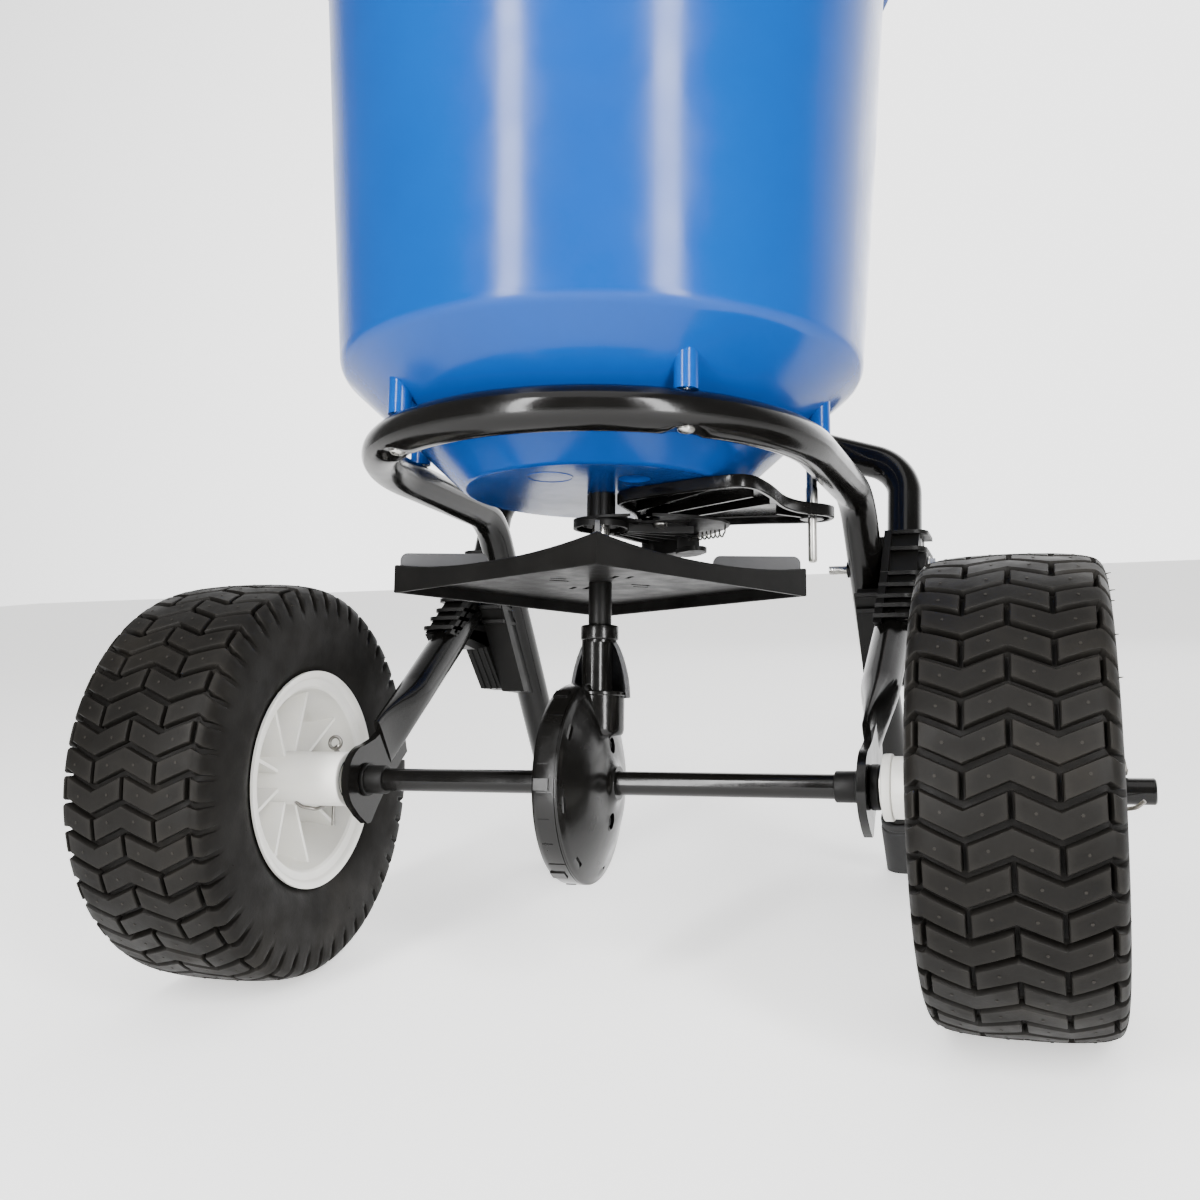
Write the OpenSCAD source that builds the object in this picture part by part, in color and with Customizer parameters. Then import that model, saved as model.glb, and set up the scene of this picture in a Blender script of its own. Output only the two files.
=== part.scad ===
// Walk-behind broadcast garden spreader, in millimetres.
// +Z is up, +Y points back towards the handle, and +X is the right side seen from the front.
// The origin is on the floor, under the middle of the axle. Every piece is drawn with the
// spreader level, as it is pushed, and parked() leans it back about the axle onto its feet.

/* [Posture] */
// Backward lean of the parked spreader, in degrees
lean = 10; // [9.8:0.1:10.2]

/* [Wheels] */
// Outer diameter of the tyres
tyre_d = 228.6; // [226:0.2:229]
// Width of a tyre at its sidewalls
tyre_w = 89; // [86:1:90]
// Distance between the middles of the two tyres
track = 433.2; // [432:0.2:440]
// Diameter of the rim's outer lip
rim_d = 124.6; // [123:0.2:125]
// Outer diameter of the wheel hub
hub_d = 31; // [29:1:34]
// Number of ribs on each side of a rim
rim_ribs = 9; // [8:1:14]

/* [Axle] */
// Diameter of the axle
axle_d = 12.7; // [12.7]
// Overall length of the axle
axle_len = 556; // [554:1:562]

/* [Frame] */
// Outer diameter of the frame tubes
tube_d = 22; // [21:0.5:22]
// Wall thickness of the frame tubes
tube_wall = 1.5; // [1.2:0.1:2]
// Radius of the front hoop, to the middle of its tube
hoop_r = 120.6; // [120:0.2:121]
// Height of the front hoop, to the middle of its tube
hoop_z = 288.7; // [288:0.1:289]
// Slope of the handle above the horizontal, in degrees
handle_slope = 58; // [57:0.5:59]
// Length of the handle, from its lowest bend to the crossbar
handle_len = 730; // [690:10:760]
// Length of the crossbar
bar_len = 480; // [440:10:520]

/* [Hopper] */
// Radius of the flat hopper floor
floor_r = 76; // [75:0.5:77]
// Height of the underside of the hopper floor
floor_z = 272.6; // [272.5:0.1:273]
// Radius of the hopper at the foot of its wall
wall_r = 146.8; // [146:0.2:147]
// Height of the hopper rim
rim_z = 590; // [560:5:620]
// Wall thickness of the hopper
hopper_t = 3; // [2.5:0.5:3.5]

/* [Impeller] */
// Half of the impeller's diagonal
impeller_r = 113.5; // [110:0.5:114]
// Height of the lower edge of the impeller's skirt
impeller_z = 216.3; // [216:0.1:217]
// Turn of the impeller at rest, in degrees
impeller_turn = 19; // [0:1:89]

/* [Gearbox] */
// Outer radius of the gear case
case_r = 53.7; // [53:0.1:54]
// Teeth on the ring gear
ring_teeth = 48; // [48]
// Teeth on the pinion
pinion_teeth = 12; // [12]
// Pitch radius of the ring gear
ring_r = 40.7; // [40.7]

/* [Shut-off] */
// Lean of the lever at rest, forwards of the vertical, in degrees
lever_lean = 15; // [15]
// Distance from the lever's pivot to the rod's pin
lever_arm = 67; // [66:1:68]
// Place of the gate's pivot, from the impeller shaft
gate_pivot = [12, 68];
// Place of the control rod's eye, from the impeller shaft
rod_eye = [105, 70];

/* [Hidden] */
$fn = 48;
axle_z = tyre_d / 2;
axle_r = axle_d / 2;
tube_r = tube_d / 2;
tube_in = tube_r - tube_wall;
side_x = track / 2;
fit = 0.05;

// Corner points of the right-hand tubes, from front to back
hoop_corner = [123.5, 119.5, hoop_z];
leg_end = [128.3, 288.5, 62];
tube_start = [142.5, 28, 142.6];
tube_knee = [147, 160, 244];
tube_shoulder = [146, 186, 318];
tube_hip = [75, 188, 341];
up_dir = [0, cos(handle_slope), sin(handle_slope)];
front_dir = [0, -sin(handle_slope), cos(handle_slope)];
joint_at = 62;
joint_overlap = 44;
leg_path = [[hoop_r, 0, hoop_z], hoop_corner, leg_end];
lower_path = [tube_start, tube_knee, tube_shoulder, tube_hip, tube_hip + joint_at * up_dir];
lower_bends = [50, 28, 30];
bolt_yz = [152, 247];
bolt_r = 3;
small_bolt_r = 2.5;
bolt_hole_r = 2.8;
plate_x = [141, 145.5];
bush_r = 8;

// Shut-off linkage
pivot_at = tube_hip + 500 * up_dir + 12 * front_dir;
rod_pin = pivot_at + lever_arm * [0, -sin(lever_lean), cos(lever_lean)];
rod_x = rod_eye[0];
rod_low = 240;
rod_bend_y = 118;
rod_sleeve = 12;
rod_r = 3.2;
rod_tip_r = 2.6;
rod_bend_z = rod_pin[2] - (rod_pin[1] - rod_bend_y) * tan(handle_slope);
rod_path = [[rod_x, rod_eye[1], 276], [rod_x, rod_eye[1], 305], [rod_x, rod_bend_y, rod_bend_z],
            [rod_x, rod_pin[1], rod_pin[2]], [81, rod_pin[1], rod_pin[2]]];
gate_top = floor_z - 0.4;
gate_t = 2.6;
gate_flange = 7;
lever_x = [89.8, 92.8];
bracket_x = [86.2, 89.2];

// Gear train
tooth_module = 2 * ring_r / ring_teeth;
pinion_r = tooth_module * pinion_teeth / 2;
mesh_z = axle_z + ring_r;
addendum = 0.7 * tooth_module;
dedendum = 0.95 * tooth_module;
backlash = 0.42;
pressure = 25;
shaft_r = 4.75;

function unit(v) = v / norm(v);
function inv_deg(a) = tan(a) * 180 / PI - a;

module parked() translate([0, 0, axle_z]) rotate([-lean, 0, 0]) translate([0, 0, -axle_z]) children();
module on_left() mirror([1, 0, 0]) children();
module along_x(x0, x1, r) translate([x0, 0, 0]) rotate([0, 90, 0]) cylinder(h = x1 - x0, r = r);

// A frame whose X axis is the unit vector a and whose Z axis is the unit vector c
module framed(at, a, c) {
    b = cross(c, a);
    multmatrix([[a[0], b[0], c[0], at[0]], [a[1], b[1], c[1], at[1]], [a[2], b[2], c[2], at[2]], [0, 0, 0, 1]])
        children();
}

// A straight round bar or tube between two points
module rod_between(p, q, r, bore = 0) {
    d = unit(q - p);
    side = unit(cross(d, abs(d[0]) < 0.9 ? [1, 0, 0] : [0, 1, 0]));
    framed(p, side, d) difference() {
        cylinder(h = norm(q - p), r = r);
        if (bore > 0) translate([0, 0, -1]) cylinder(h = norm(q - p) + 2, r = bore);
    }
}

// Places and directions along a route of points whose inner corners are rounded, as [point, direction]
function corner_stops(a, b, c, bend_r) =
    let (d0 = unit(b - a), d1 = unit(c - b), turn = acos(d0 * d1), axis = unit(cross(d0, d1)),
         inwards = cross(axis, d0), middle = b - bend_r * tan(turn / 2) * d0 + bend_r * inwards,
         steps = max(3, ceil(turn / 11)))
    [for (i = [0:steps]) let (w = turn * i / steps)
        [middle - bend_r * cos(w) * inwards + bend_r * sin(w) * d0, cos(w) * d0 + sin(w) * inwards]];
function route_stops(route, bends) = let (last = len(route) - 1) concat(
    [[route[0], unit(route[1] - route[0])]],
    [for (i = [1:last - 1]) each corner_stops(route[i - 1], route[i], route[i + 1], bends[i - 1])],
    [[route[last], unit(route[last] - route[last - 1])]]);

// Side directions carried along the stops without twisting
function carried(stops, i, side) = i == len(stops) ? [] :
    let (d = stops[i][1], s = unit(side - (side * d) * d)) concat([s], carried(stops, i + 1, s));
function ring_at(stop, side, r, sides) = let (other = cross(stop[1], side))
    [for (k = [0:sides - 1]) stop[0] + r * cos(360 * k / sides) * side + r * sin(360 * k / sides) * other];

// A round bar swept along the stops, or a tube when it has a bore
module swept(stops, r, bore = 0, sides = 20) {
    d0 = stops[0][1];
    sides_at = carried(stops, 0, cross(d0, abs(d0[2]) < 0.9 ? [0, 0, 1] : [1, 0, 0]));
    n = len(stops);
    outer = [for (i = [0:n - 1]) each ring_at(stops[i], sides_at[i], r, sides)];
    inner = [for (i = [0:n - 1]) each ring_at(stops[i], sides_at[i], bore, sides)];
    base = n * sides;
    end = (n - 1) * sides;
    wall = [for (i = [0:n - 2], k = [0:sides - 1]) let (m = (k + 1) % sides, p = i * sides)
        [p + k, p + sides + k, p + sides + m, p + m]];
    lining = [for (f = wall) [f[3] + base, f[2] + base, f[1] + base, f[0] + base]];
    rims = [for (k = [0:sides - 1]) let (m = (k + 1) % sides)
        each [[k, m, base + m, base + k], [end + m, end + k, base + end + k, base + end + m]]];
    lids = [[for (k = [0:sides - 1]) k], [for (k = [sides - 1:-1:0]) end + k]];
    if (bore > 0) polyhedron(concat(outer, inner), concat(wall, lining, rims), convexity = 8);
    else polyhedron(outer, concat(wall, lids), convexity = 8);
}
module bent_bar(route, bends, r, bore = 0, sides = 20) swept(route_stops(route, bends), r, bore, sides);

// A bolt along +X with a hexagon head at the right end
module bolt_x(x0, x1, r, head_r, head_h) {
    along_x(x0, x1, r);
    translate([x1, 0, 0]) rotate([0, 90, 0]) cylinder(h = head_h, r = head_r, $fn = 6);
}

// Frame ---------------------------------------------------------------------------------------
rivet_r = 4.4;
module leg_bores() for (m = [0, 1]) mirror([m, 0, 0]) translate([0, bolt_yz[0], bolt_yz[1]]) {
    along_x(90, 150, bolt_r + 0.3);
    along_x(90, 124, rivet_r + fit);
}

// Stops of the whole hoop: left leg, front half ring, right leg
function hoop_stops() =
    let (right = route_stops(leg_path, [40]), last = len(right) - 1)
    concat([for (i = [last:-1:1]) [[-right[i][0][0], right[i][0][1], right[i][0][2]],
                                   [right[i][1][0], -right[i][1][1], -right[i][1][2]]]],
           [for (a = [180:7.5:360]) [[hoop_r * cos(a), hoop_r * sin(a), hoop_z], [-sin(a), cos(a), 0]]],
           [for (i = [1:last]) right[i]]);

module hoop_tube() color([0.03, 0.03, 0.035]) parked() difference() {
    swept(hoop_stops(), tube_r, tube_in);
    leg_bores();
    for (a = lug_angles) rotate([0, 0, a]) translate([hoop_r, 0, hoop_z - tube_r - 4])
        cylinder(h = tube_d + 8, r = screw_r + 0.3);
}

// Rubber foot on the end of a leg, cut flat where it stands on the floor
module foot() color([0.05, 0.05, 0.05]) difference() {
    parked() difference() {
        rod_between(leg_end - 34 * unit(leg_end - hoop_corner), leg_end + 24 * unit(leg_end - hoop_corner),
                    tube_r + 3);
        rod_between(leg_end - 60 * unit(leg_end - hoop_corner), leg_end + 0.1 * unit(leg_end - hoop_corner),
                    tube_r + fit);
    }
    translate([0, 150, -50]) cube([400, 600, 100], center = true);
}
module foot_right() foot();
module foot_left() on_left() foot();

// Flattened end of a lower tube, where the axle passes through it
module axle_plate() translate([plate_x[0], 0, axle_z]) rotate([90, 0, 90])
    linear_extrude(height = plate_x[1] - plate_x[0]) union() {
        circle(r = 19);
        polygon([[-18.6, 4], [-14, -13], [5, -24.5], [21, -9], [28, 4], [62, 35], [47, 53], [6, 24]]);
    }

module lower_tube() color([0.03, 0.03, 0.035]) difference() {
    union() {
        axle_plate();
        bent_bar(lower_path, lower_bends, tube_r, tube_in);
    }
    translate([0, 0, axle_z]) along_x(120, 170, bush_r + fit);
    translate([130, bolt_yz[0], bolt_yz[1]]) rotate([0, 90, 0]) cylinder(h = 60, r = bolt_r + 0.3);
    joint_hole();
}
module lower_tube_right() parked() lower_tube();
module lower_tube_left() parked() on_left() lower_tube();

// Cross hole for the bolt that joins the upper and lower handle tubes
module joint_hole() framed(tube_hip + (joint_at - joint_overlap / 2) * up_dir, [1, 0, 0], up_dir)
    along_x(-20, 20, bolt_hole_r);

clamp_split = 135.9;
clamp_rib_z = [209.5, 216.5, 223, 231, 239.5, 257, 269];
clamp_knee_z = 239.5;
// Front and back edge of a clamp rib, which follow the bent tube
function rib_front(z) = z < clamp_knee_z ? 91 + 1.25 * (z - 209.5) : 128.5 + 0.85 * (z - clamp_knee_z);
function rib_back(z) = min(192, z - 45);
module clamp_profile(pts, x0, x1) translate([x0, 0, 0]) rotate([90, 0, 90])
    linear_extrude(height = x1 - x0) polygon(pts);

// Outer clamp half, which wraps the lower handle tube and carries the finger-like ribs
module clamp_outer() color([0.05, 0.05, 0.05]) difference() {
    union() {
        clamp_profile([[97, 205], [150, 201], [186, 236], [196, 262], [194, 272], [157, 272], [136, 240]],
                      clamp_split, 158.5);
        clamp_profile([[89, 207], [97, 205], [136, 240], [160, 272], [153, 272], [127, 240]],
                      clamp_split, clamp_split + 5);
        for (z = clamp_rib_z) clamp_profile([[rib_front(z), z], [rib_back(z), z], [rib_back(z), z + 3],
                                             [rib_front(z), z + 3]], clamp_split, z < 230 ? 160.5 : 162.5);
        clamp_profile([[140, 206], [172, 174], [198, 174], [190, 206], [160, 222]], clamp_split, 152);
    }
    bent_bar(lower_path, lower_bends, tube_r + fit);
    bent_bar(leg_path, [40], tube_r + fit);
    translate([0, bolt_yz[0], bolt_yz[1]]) along_x(130, 170, bolt_r + 0.3);
}
module clamp_outer_right() parked() clamp_outer();
module clamp_outer_left() parked() on_left() clamp_outer();

// Inner clamp half: a block in front of the rear leg, and a thinner upper part behind the leg
module clamp_inner() color([0.05, 0.05, 0.05]) difference() {
    union() {
        clamp_profile([[130, 229], [136, 233], [170, 233], [178, 226], [208, 184], [200, 172], [172, 172]],
                      118.7, clamp_split - 0.1);
        clamp_profile([[138, 266], [164, 231], [176, 228], [170, 262], [150, 268]], 123, clamp_split - 0.1);
    }
    bent_bar(leg_path, [40], tube_r + fit);
    translate([0, bolt_yz[0], bolt_yz[1]]) along_x(100, 140, bolt_r + 0.3);
    bent_bar(lower_path, lower_bends, tube_r + fit);
}
module clamp_inner_right() parked() clamp_inner();
module clamp_inner_left() parked() on_left() clamp_inner();

module clamp_bolts() color("silver") parked() for (m = [0, 1]) mirror([m, 0, 0])
    translate([0, bolt_yz[0], bolt_yz[1]]) bolt_x(100.5, 162.8, bolt_r, 6, 4.5);
// Rivet nuts set in the inboard walls of the legs
module clamp_nuts() color([0.03, 0.03, 0.035]) parked() for (m = [0, 1]) mirror([m, 0, 0])
    translate([0, bolt_yz[0], bolt_yz[1]]) difference() {
        union() {
            along_x(112.3, 113.2, 5.4);
            along_x(113.1, 121, rivet_r);
        }
        along_x(100, 130, bolt_r + fit);
    }

// Plastic bearing in each axle plate
module axle_bushes() color([0.08, 0.08, 0.08]) parked() for (m = [0, 1]) mirror([m, 0, 0])
    translate([0, 0, axle_z]) difference() {
        union() {
            along_x(127.8, 150.4, bush_r);
            along_x(plate_x[1] + 0.1, 150.4, 11.5);
        }
        along_x(120, 160, axle_r + fit);
    }

// Hopper --------------------------------------------------------------------------------------
chine_z = 332;
chine_r = 141;
wall_z = 346;
rim_r = wall_r + (rim_z - wall_z) * 0.06;
lug_angles = [6, 174, 231, 309];
screw_r = 2.4;
port_spots = [[27, -8], [30, -32]];
port_r = 8.5;
bush_bore_r = 7;

function arc_pts(r0, z0, r1, z1, bulge, n) = [for (i = [0:n])
    [r0 + (r1 - r0) * i / n + bulge * sin(180 * i / n), z0 + (z1 - z0) * i / n - bulge * sin(180 * i / n)]];

wall_foot = arc_pts(chine_r, chine_z, wall_r, wall_z, 1.2, 6);
module hopper_outside() rotate_extrude() polygon(concat([[0, floor_z], [floor_r, floor_z]], wall_foot,
    [[rim_r, rim_z - 16], [rim_r + 7, rim_z - 14], [rim_r + 7, rim_z], [0, rim_z]]));
module hopper_inside() rotate_extrude() polygon([[0, floor_z + hopper_t], [floor_r - 1, floor_z + hopper_t],
    [chine_r - hopper_t, chine_z + 2], [wall_r - hopper_t, wall_z + 1], [rim_r - hopper_t, rim_z], [0, rim_z]]);

module hopper() color([0.05, 0.36, 0.78]) parked() difference() {
    union() {
        hopper_outside();
        for (a = lug_angles) rotate([0, 0, a]) translate([hoop_r, 0, hoop_z + tube_r + 0.1])
            cylinder(h = 19, r = 6);
    }
    hopper_inside();
    translate([0, 0, rim_z - 1]) cylinder(h = 20, r = rim_r - hopper_t);
    translate([0, 0, floor_z - 10]) cylinder(h = 30, r = bush_bore_r + fit);
    for (p = port_spots) translate([p[0], p[1], floor_z - 5]) cylinder(h = 20, r = port_r);
    for (a = lug_angles) rotate([0, 0, a]) translate([hoop_r, 0, hoop_z]) cylinder(h = 20, r = screw_r + fit);
    translate([gate_pivot[0], gate_pivot[1], floor_z - 5]) cylinder(h = 20, r = 1.8);
}

module hopper_screws() color("silver") parked() for (a = lug_angles) rotate([0, 0, a])
    translate([hoop_r, 0, 0]) {
        translate([0, 0, hoop_z - tube_r - 2.6]) cylinder(h = 2.5, r1 = 3.4, r2 = 4.6);
        translate([0, 0, hoop_z - tube_r - 0.2]) cylinder(h = 30, r = screw_r);
    }

// Bearing for the impeller shaft, in the middle of the hopper floor
module hopper_bush() color([0.07, 0.07, 0.07]) parked() difference() {
    union() {
        translate([0, 0, 254]) cylinder(h = floor_z + hopper_t + 2 - 254, r = bush_bore_r);
        translate([0, 0, floor_z + hopper_t + 0.1]) cylinder(h = 2.4, r = 11);
    }
    translate([0, 0, 240]) cylinder(h = 50, r = shaft_r + fit);
}

// Fixed ribbed carrier under the gate
guide_top = 257.5;
module guide_outline() union() {
    circle(r = 15);
    polygon([[-15, -6], [-9, -14], [8, -19], [40, -14], [66, 8], [68, 30], [44, 58], [18, 77], [2, 76],
             [-8, 40], [-15, 10]]);
}
module gate_guide() color([0.06, 0.06, 0.06]) parked() difference() {
    union() {
        translate([0, 0, guide_top - 2.4]) linear_extrude(height = 2.4) guide_outline();
        for (i = [0:5]) rotate([0, 0, 8 + 15 * i]) translate([16, -1, guide_top - 6.5]) cube([36, 2, 5]);
        translate([gate_pivot[0], gate_pivot[1], guide_top - 14]) cylinder(h = 14, r = 10);
        translate([gate_pivot[0], gate_pivot[1], guide_top - 1])
            cylinder(h = floor_z - 0.1 - guide_top + 1, r = 6);
        translate([gate_pivot[0], gate_pivot[1] - 5, guide_top - 14]) cube([34, 12, 4]);
    }
    translate([0, 0, 240]) cylinder(h = 50, r = bush_bore_r + 0.1);
    for (p = port_spots) translate([p[0], p[1], 240]) cylinder(h = 50, r = port_r + 1);
    translate([gate_pivot[0], gate_pivot[1], 230]) cylinder(h = 60, r = 1.8);
}
module guide_screw() color("silver") parked()
    translate([gate_pivot[0], gate_pivot[1], guide_top - 16.1]) {
        cylinder(h = 2, r = 3.6);
        cylinder(h = floor_z + 17.1 - guide_top, r = 1.7);
    }

// Gearbox -------------------------------------------------------------------------------------
case_left = -18.2;
case_seam = -4;
case_t = 2.2;
tower_r = 8.4;
collar_r = 10.2;
cup_r = 13.8;
cup_z = 139.7;
tower_top = 199;
collar_z = 191;
case_screw_z = 20;
shield_r = 17;
dome_pts = [[case_r, case_seam], [46, -0.5], [38, 2], [28, 4.6], [18, 6.8], [13, 7.6]];

// Profiles are drawn as radius and place along X, and turned about the axle
module about_axle() translate([0, 0, axle_z]) rotate([0, 90, 0]) rotate_extrude() children();

module gearbox_left() color([0.04, 0.04, 0.04]) parked() difference() {
    union() {
        about_axle() polygon([[axle_r + fit, case_left - 5], [13, case_left - 5], [14, case_left],
            [case_r - 1.5, case_left], [case_r, case_left + 1.5], [case_r, case_seam - 0.1],
            [case_r - case_t, case_seam - 0.1], [case_r - case_t, case_left + case_t],
            [axle_r + fit, case_left + case_t]]);
        for (a = [30:60:330]) translate([0, 0, axle_z]) rotate([a, 0, 0])
            translate([case_left + 3, -3, case_r - 0.5]) cube([9, 6, 1.4]);
    }
    translate([0, 0, 130]) cylinder(h = 50, r = cup_r + 0.2);
    translate([0, 0, 159.8]) rotate_extrude(angle = 180) square([shield_r + 0.3, 20]);
}

module gearbox_right() color([0.04, 0.04, 0.04]) parked() difference() {
    union() {
        about_axle() polygon(concat(dome_pts, [[12, 12], [axle_r + fit, 12]],
            [[axle_r + fit, 5.2]], [for (i = [len(dome_pts) - 2:-1:1]) dome_pts[i] - [0.6, case_t]],
            [[case_r - case_t - 0.2, case_seam]]));
        translate([0, 0, cup_z]) cylinder(h = 162 - cup_z, r = cup_r);
        translate([0, 0, 160]) cylinder(h = tower_top - 160, r = tower_r);
        translate([0, 0, collar_z]) cylinder(h = tower_top - collar_z, r = collar_r);
        tower_shield();
    }
    translate([0, 0, cup_z + 6]) cylinder(h = 14.3, r = pinion_r + addendum + 0.5);
    translate([0, 0, 120]) cylinder(h = 100, r = shaft_r + fit);
    intersection() {
        about_axle() polygon([[0, case_left], [case_r - 6, case_left], [case_r - 6, -6.5], [0, -6.5]]);
        translate([-30, -60, 100]) cube([40, 120, 62]);
    }
    for (s = [-1, 1]) translate([0, 0, axle_z + s * case_screw_z]) along_x(-2, 10, 3 + fit);
}
// Bell-shaped shield behind the bearing tower
module tower_shield() translate([0, 0, 160]) rotate_extrude(angle = 180)
    polygon([[tower_r - 1, 31], [tower_r + 1, 31], [13.2, 22], [16, 11], [shield_r, 0], [shield_r - 2, 0],
             [14, 10.5], [11.4, 21], [tower_r - 1, 29]]);

module gearbox_screws() color([0.3, 0.3, 0.3]) parked() for (s = [-1, 1])
    translate([0, 0, axle_z + s * case_screw_z]) along_x(3.5, 8.6, 3);

// Face gear with radial teeth that point towards +X
ring_tip_x = -pinion_r + addendum;
ring_root_x = -pinion_r - dedendum;
face_half = 3;
ring_pin_x = -8;
module ring_gear() color([0.75, 0.75, 0.72]) parked() translate([0, 0, axle_z]) difference() {
    union() {
        along_x(case_left + case_t + 0.5, ring_root_x, ring_r + face_half + 1);
        along_x(case_left + case_t + 0.5, -5.5, 13);
        for (i = [0:ring_teeth - 1]) rotate([360 * (i + 0.5) / ring_teeth, 0, 0]) face_tooth();
    }
    along_x(-30, 10, axle_r + fit);
    for (a = [0:90:270]) rotate([a + 45, 0, 0]) translate([0, 0, 24]) along_x(-30, 0, 5);
    translate([ring_pin_x, 0, -30]) cylinder(h = 60, r = 1.6);
}
module face_tooth() {
    half = PI * tooth_module / 4 - backlash / 2;
    slope = tan(pressure);
    low = dedendum + 0.3;
    translate([-pinion_r, 0, ring_r - face_half]) linear_extrude(height = 2 * face_half)
        polygon([[-low, -half - low * slope], [addendum, -half + addendum * slope],
                 [addendum, half - addendum * slope], [-low, half + low * slope]]);
}
module ring_gear_pin() color("silver") parked() translate([ring_pin_x, 0, axle_z - 12.6])
    cylinder(h = 25.2, r = 1.5);

// Rotating shaft group ------------------------------------------------------------------------
shaft_z = [141, 302];
impeller_pin_z = 232;
agitator_z = 286;
module spinner_shaft() color("silver") parked() difference() {
    translate([0, 0, shaft_z[0]]) cylinder(h = shaft_z[1] - shaft_z[0], r = shaft_r);
    for (z = [impeller_pin_z, agitator_z]) rotate([0, 0, impeller_turn]) translate([0, 0, z])
        along_x(-20, 20, 1.5);
}

module pinion() color([0.75, 0.75, 0.72]) parked() translate([0, 0, mesh_z - 4.2]) difference() {
    union() {
        linear_extrude(height = 8.4) pinion_outline();
        translate([0, 0, -4.5]) cylinder(h = 4.6, r = 7.5);
    }
    translate([0, 0, -10]) cylinder(h = 30, r = shaft_r + 0.02);
}
module pinion_outline() {
    base_r = pinion_r * cos(pressure);
    half_pitch = 90 / pinion_teeth - backlash / 2 / pinion_r * 180 / PI;
    root = pinion_r - dedendum;
    flank_low = max(base_r, root);
    radii = [for (i = [0:4]) flank_low + i / 4 * (pinion_r + addendum - flank_low)];
    half = [for (r = radii) half_pitch + inv_deg(pressure) - inv_deg(acos(min(1, base_r / r)))];
    points = [for (t = [0:pinion_teeth - 1]) let (a = 360 * t / pinion_teeth) each concat(
        [root * [cos(a - half[0]), sin(a - half[0])]],
        [for (i = [0:4]) radii[i] * [cos(a - half[i]), sin(a - half[i])]],
        [for (i = [4:-1:0]) radii[i] * [cos(a + half[i]), sin(a + half[i])]],
        [root * [cos(a + half[0]), sin(a + half[0])]])];
    polygon(points);
}

skirt_t = 2.2;
plate_low = impeller_z + 6.5;
plate_t = 2.5;
side_half = impeller_r / sqrt(2);
vane_r = [62, 110.5];
vane_top = impeller_z + 22;
module skirt_side() translate([0, side_half, 0]) rotate([90, 0, 0]) linear_extrude(height = skirt_t)
    polygon(concat([[-side_half, impeller_z], [side_half, impeller_z]],
        [for (i = [8:-1:-8]) [side_half * i / 8, impeller_z + 9.5 + 6 * pow(i / 8, 2)]]));
module vane() translate([0, skirt_t / 2, 0]) rotate([90, 0, 0]) linear_extrude(height = skirt_t)
    union() {
        translate([vane_r[0], plate_low]) square([vane_r[1] - vane_r[0], vane_top - plate_low - 4]);
        translate([vane_r[0] + 4, plate_low]) square([vane_r[1] - vane_r[0] - 8, vane_top - plate_low]);
        for (x = [vane_r[0] + 4, vane_r[1] - 4]) translate([x, vane_top - 4]) circle(r = 4);
    }
module impeller() color([0.06, 0.06, 0.06]) parked() rotate([0, 0, impeller_turn]) difference() {
    union() {
        rotate([0, 0, 45]) translate([-side_half, -side_half, plate_low])
            cube([2 * side_half, 2 * side_half, plate_t]);
        for (a = [0:90:270]) rotate([0, 0, a + 45]) skirt_side();
        for (a = [0:90:270]) rotate([0, 0, a]) vane();
        translate([0, 0, tower_top + 0.5]) cylinder(h = plate_low - tower_top, r = 6.3);
        translate([0, 0, plate_low]) cylinder(h = 14, r = 9);
    }
    translate([0, 0, 190]) cylinder(h = 60, r = shaft_r + 0.02);
    translate([0, 0, impeller_pin_z]) along_x(-20, 20, 1.5);
    for (a = [0:90:270]) rotate([0, 0, a + 20]) translate([18, -2, plate_low - 1]) cube([11, 3, 5]);
}
module impeller_pin() color("silver") parked() rotate([0, 0, impeller_turn])
    translate([0, 0, impeller_pin_z]) along_x(-10.5, 10.5, 1.45);
module agitator() color("silver") parked() rotate([0, 0, impeller_turn]) translate([0, 0, agitator_z]) {
    along_x(-34, 34, 1.45);
    for (s = [-1, 1]) translate([s * 33, 0, -6]) cylinder(h = 12, r = 1.45);
}

// Wheels --------------------------------------------------------------------------------------
hub_in = 152;
hub_out = 258;
rim_half = 42.6;
rim_lip_r = rim_d / 2;
seat_r = 53;
well_r = 46.5;
web_x = -5;
rib_turn = 5;
module about_wheel() translate([side_x, 0, axle_z]) rotate([0, 90, 0]) rotate_extrude() children();

// Outline of the tyre from one bead over the tread to the other
function tyre_side(s) = [[seat_r + 0.1, s * 34], [seat_r + 0.1, s * 37.3], [seat_r + 2, s * 38.9],
    [rim_lip_r + 0.3, s * 39.7], [rim_lip_r + 3, s * 42.4], [76, s * 44.2], [86, s * tyre_w / 2],
    [96, s * 44], [104, s * 42.6], [109.5, s * 40.2], [111.6, s * 36]];
function reversed(v) = [for (i = [len(v) - 1:-1:0]) v[i]];
module tyre() about_wheel() polygon(concat(tyre_side(-1),
    [for (i = [-3:3]) [tyre_d / 2 - 2.4 * pow(i / 3.6, 2), 10 * i]], reversed(tyre_side(1)),
    [[62, 30], [82, 37.5], [98, 36], [104, 28], [106, 0], [104, -28], [98, -36], [82, -37.5], [62, -30]]));
module tyre_right() color([0.07, 0.07, 0.07]) parked() tyre();
module tyre_left() color([0.07, 0.07, 0.07]) parked() on_left() tyre();

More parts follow.
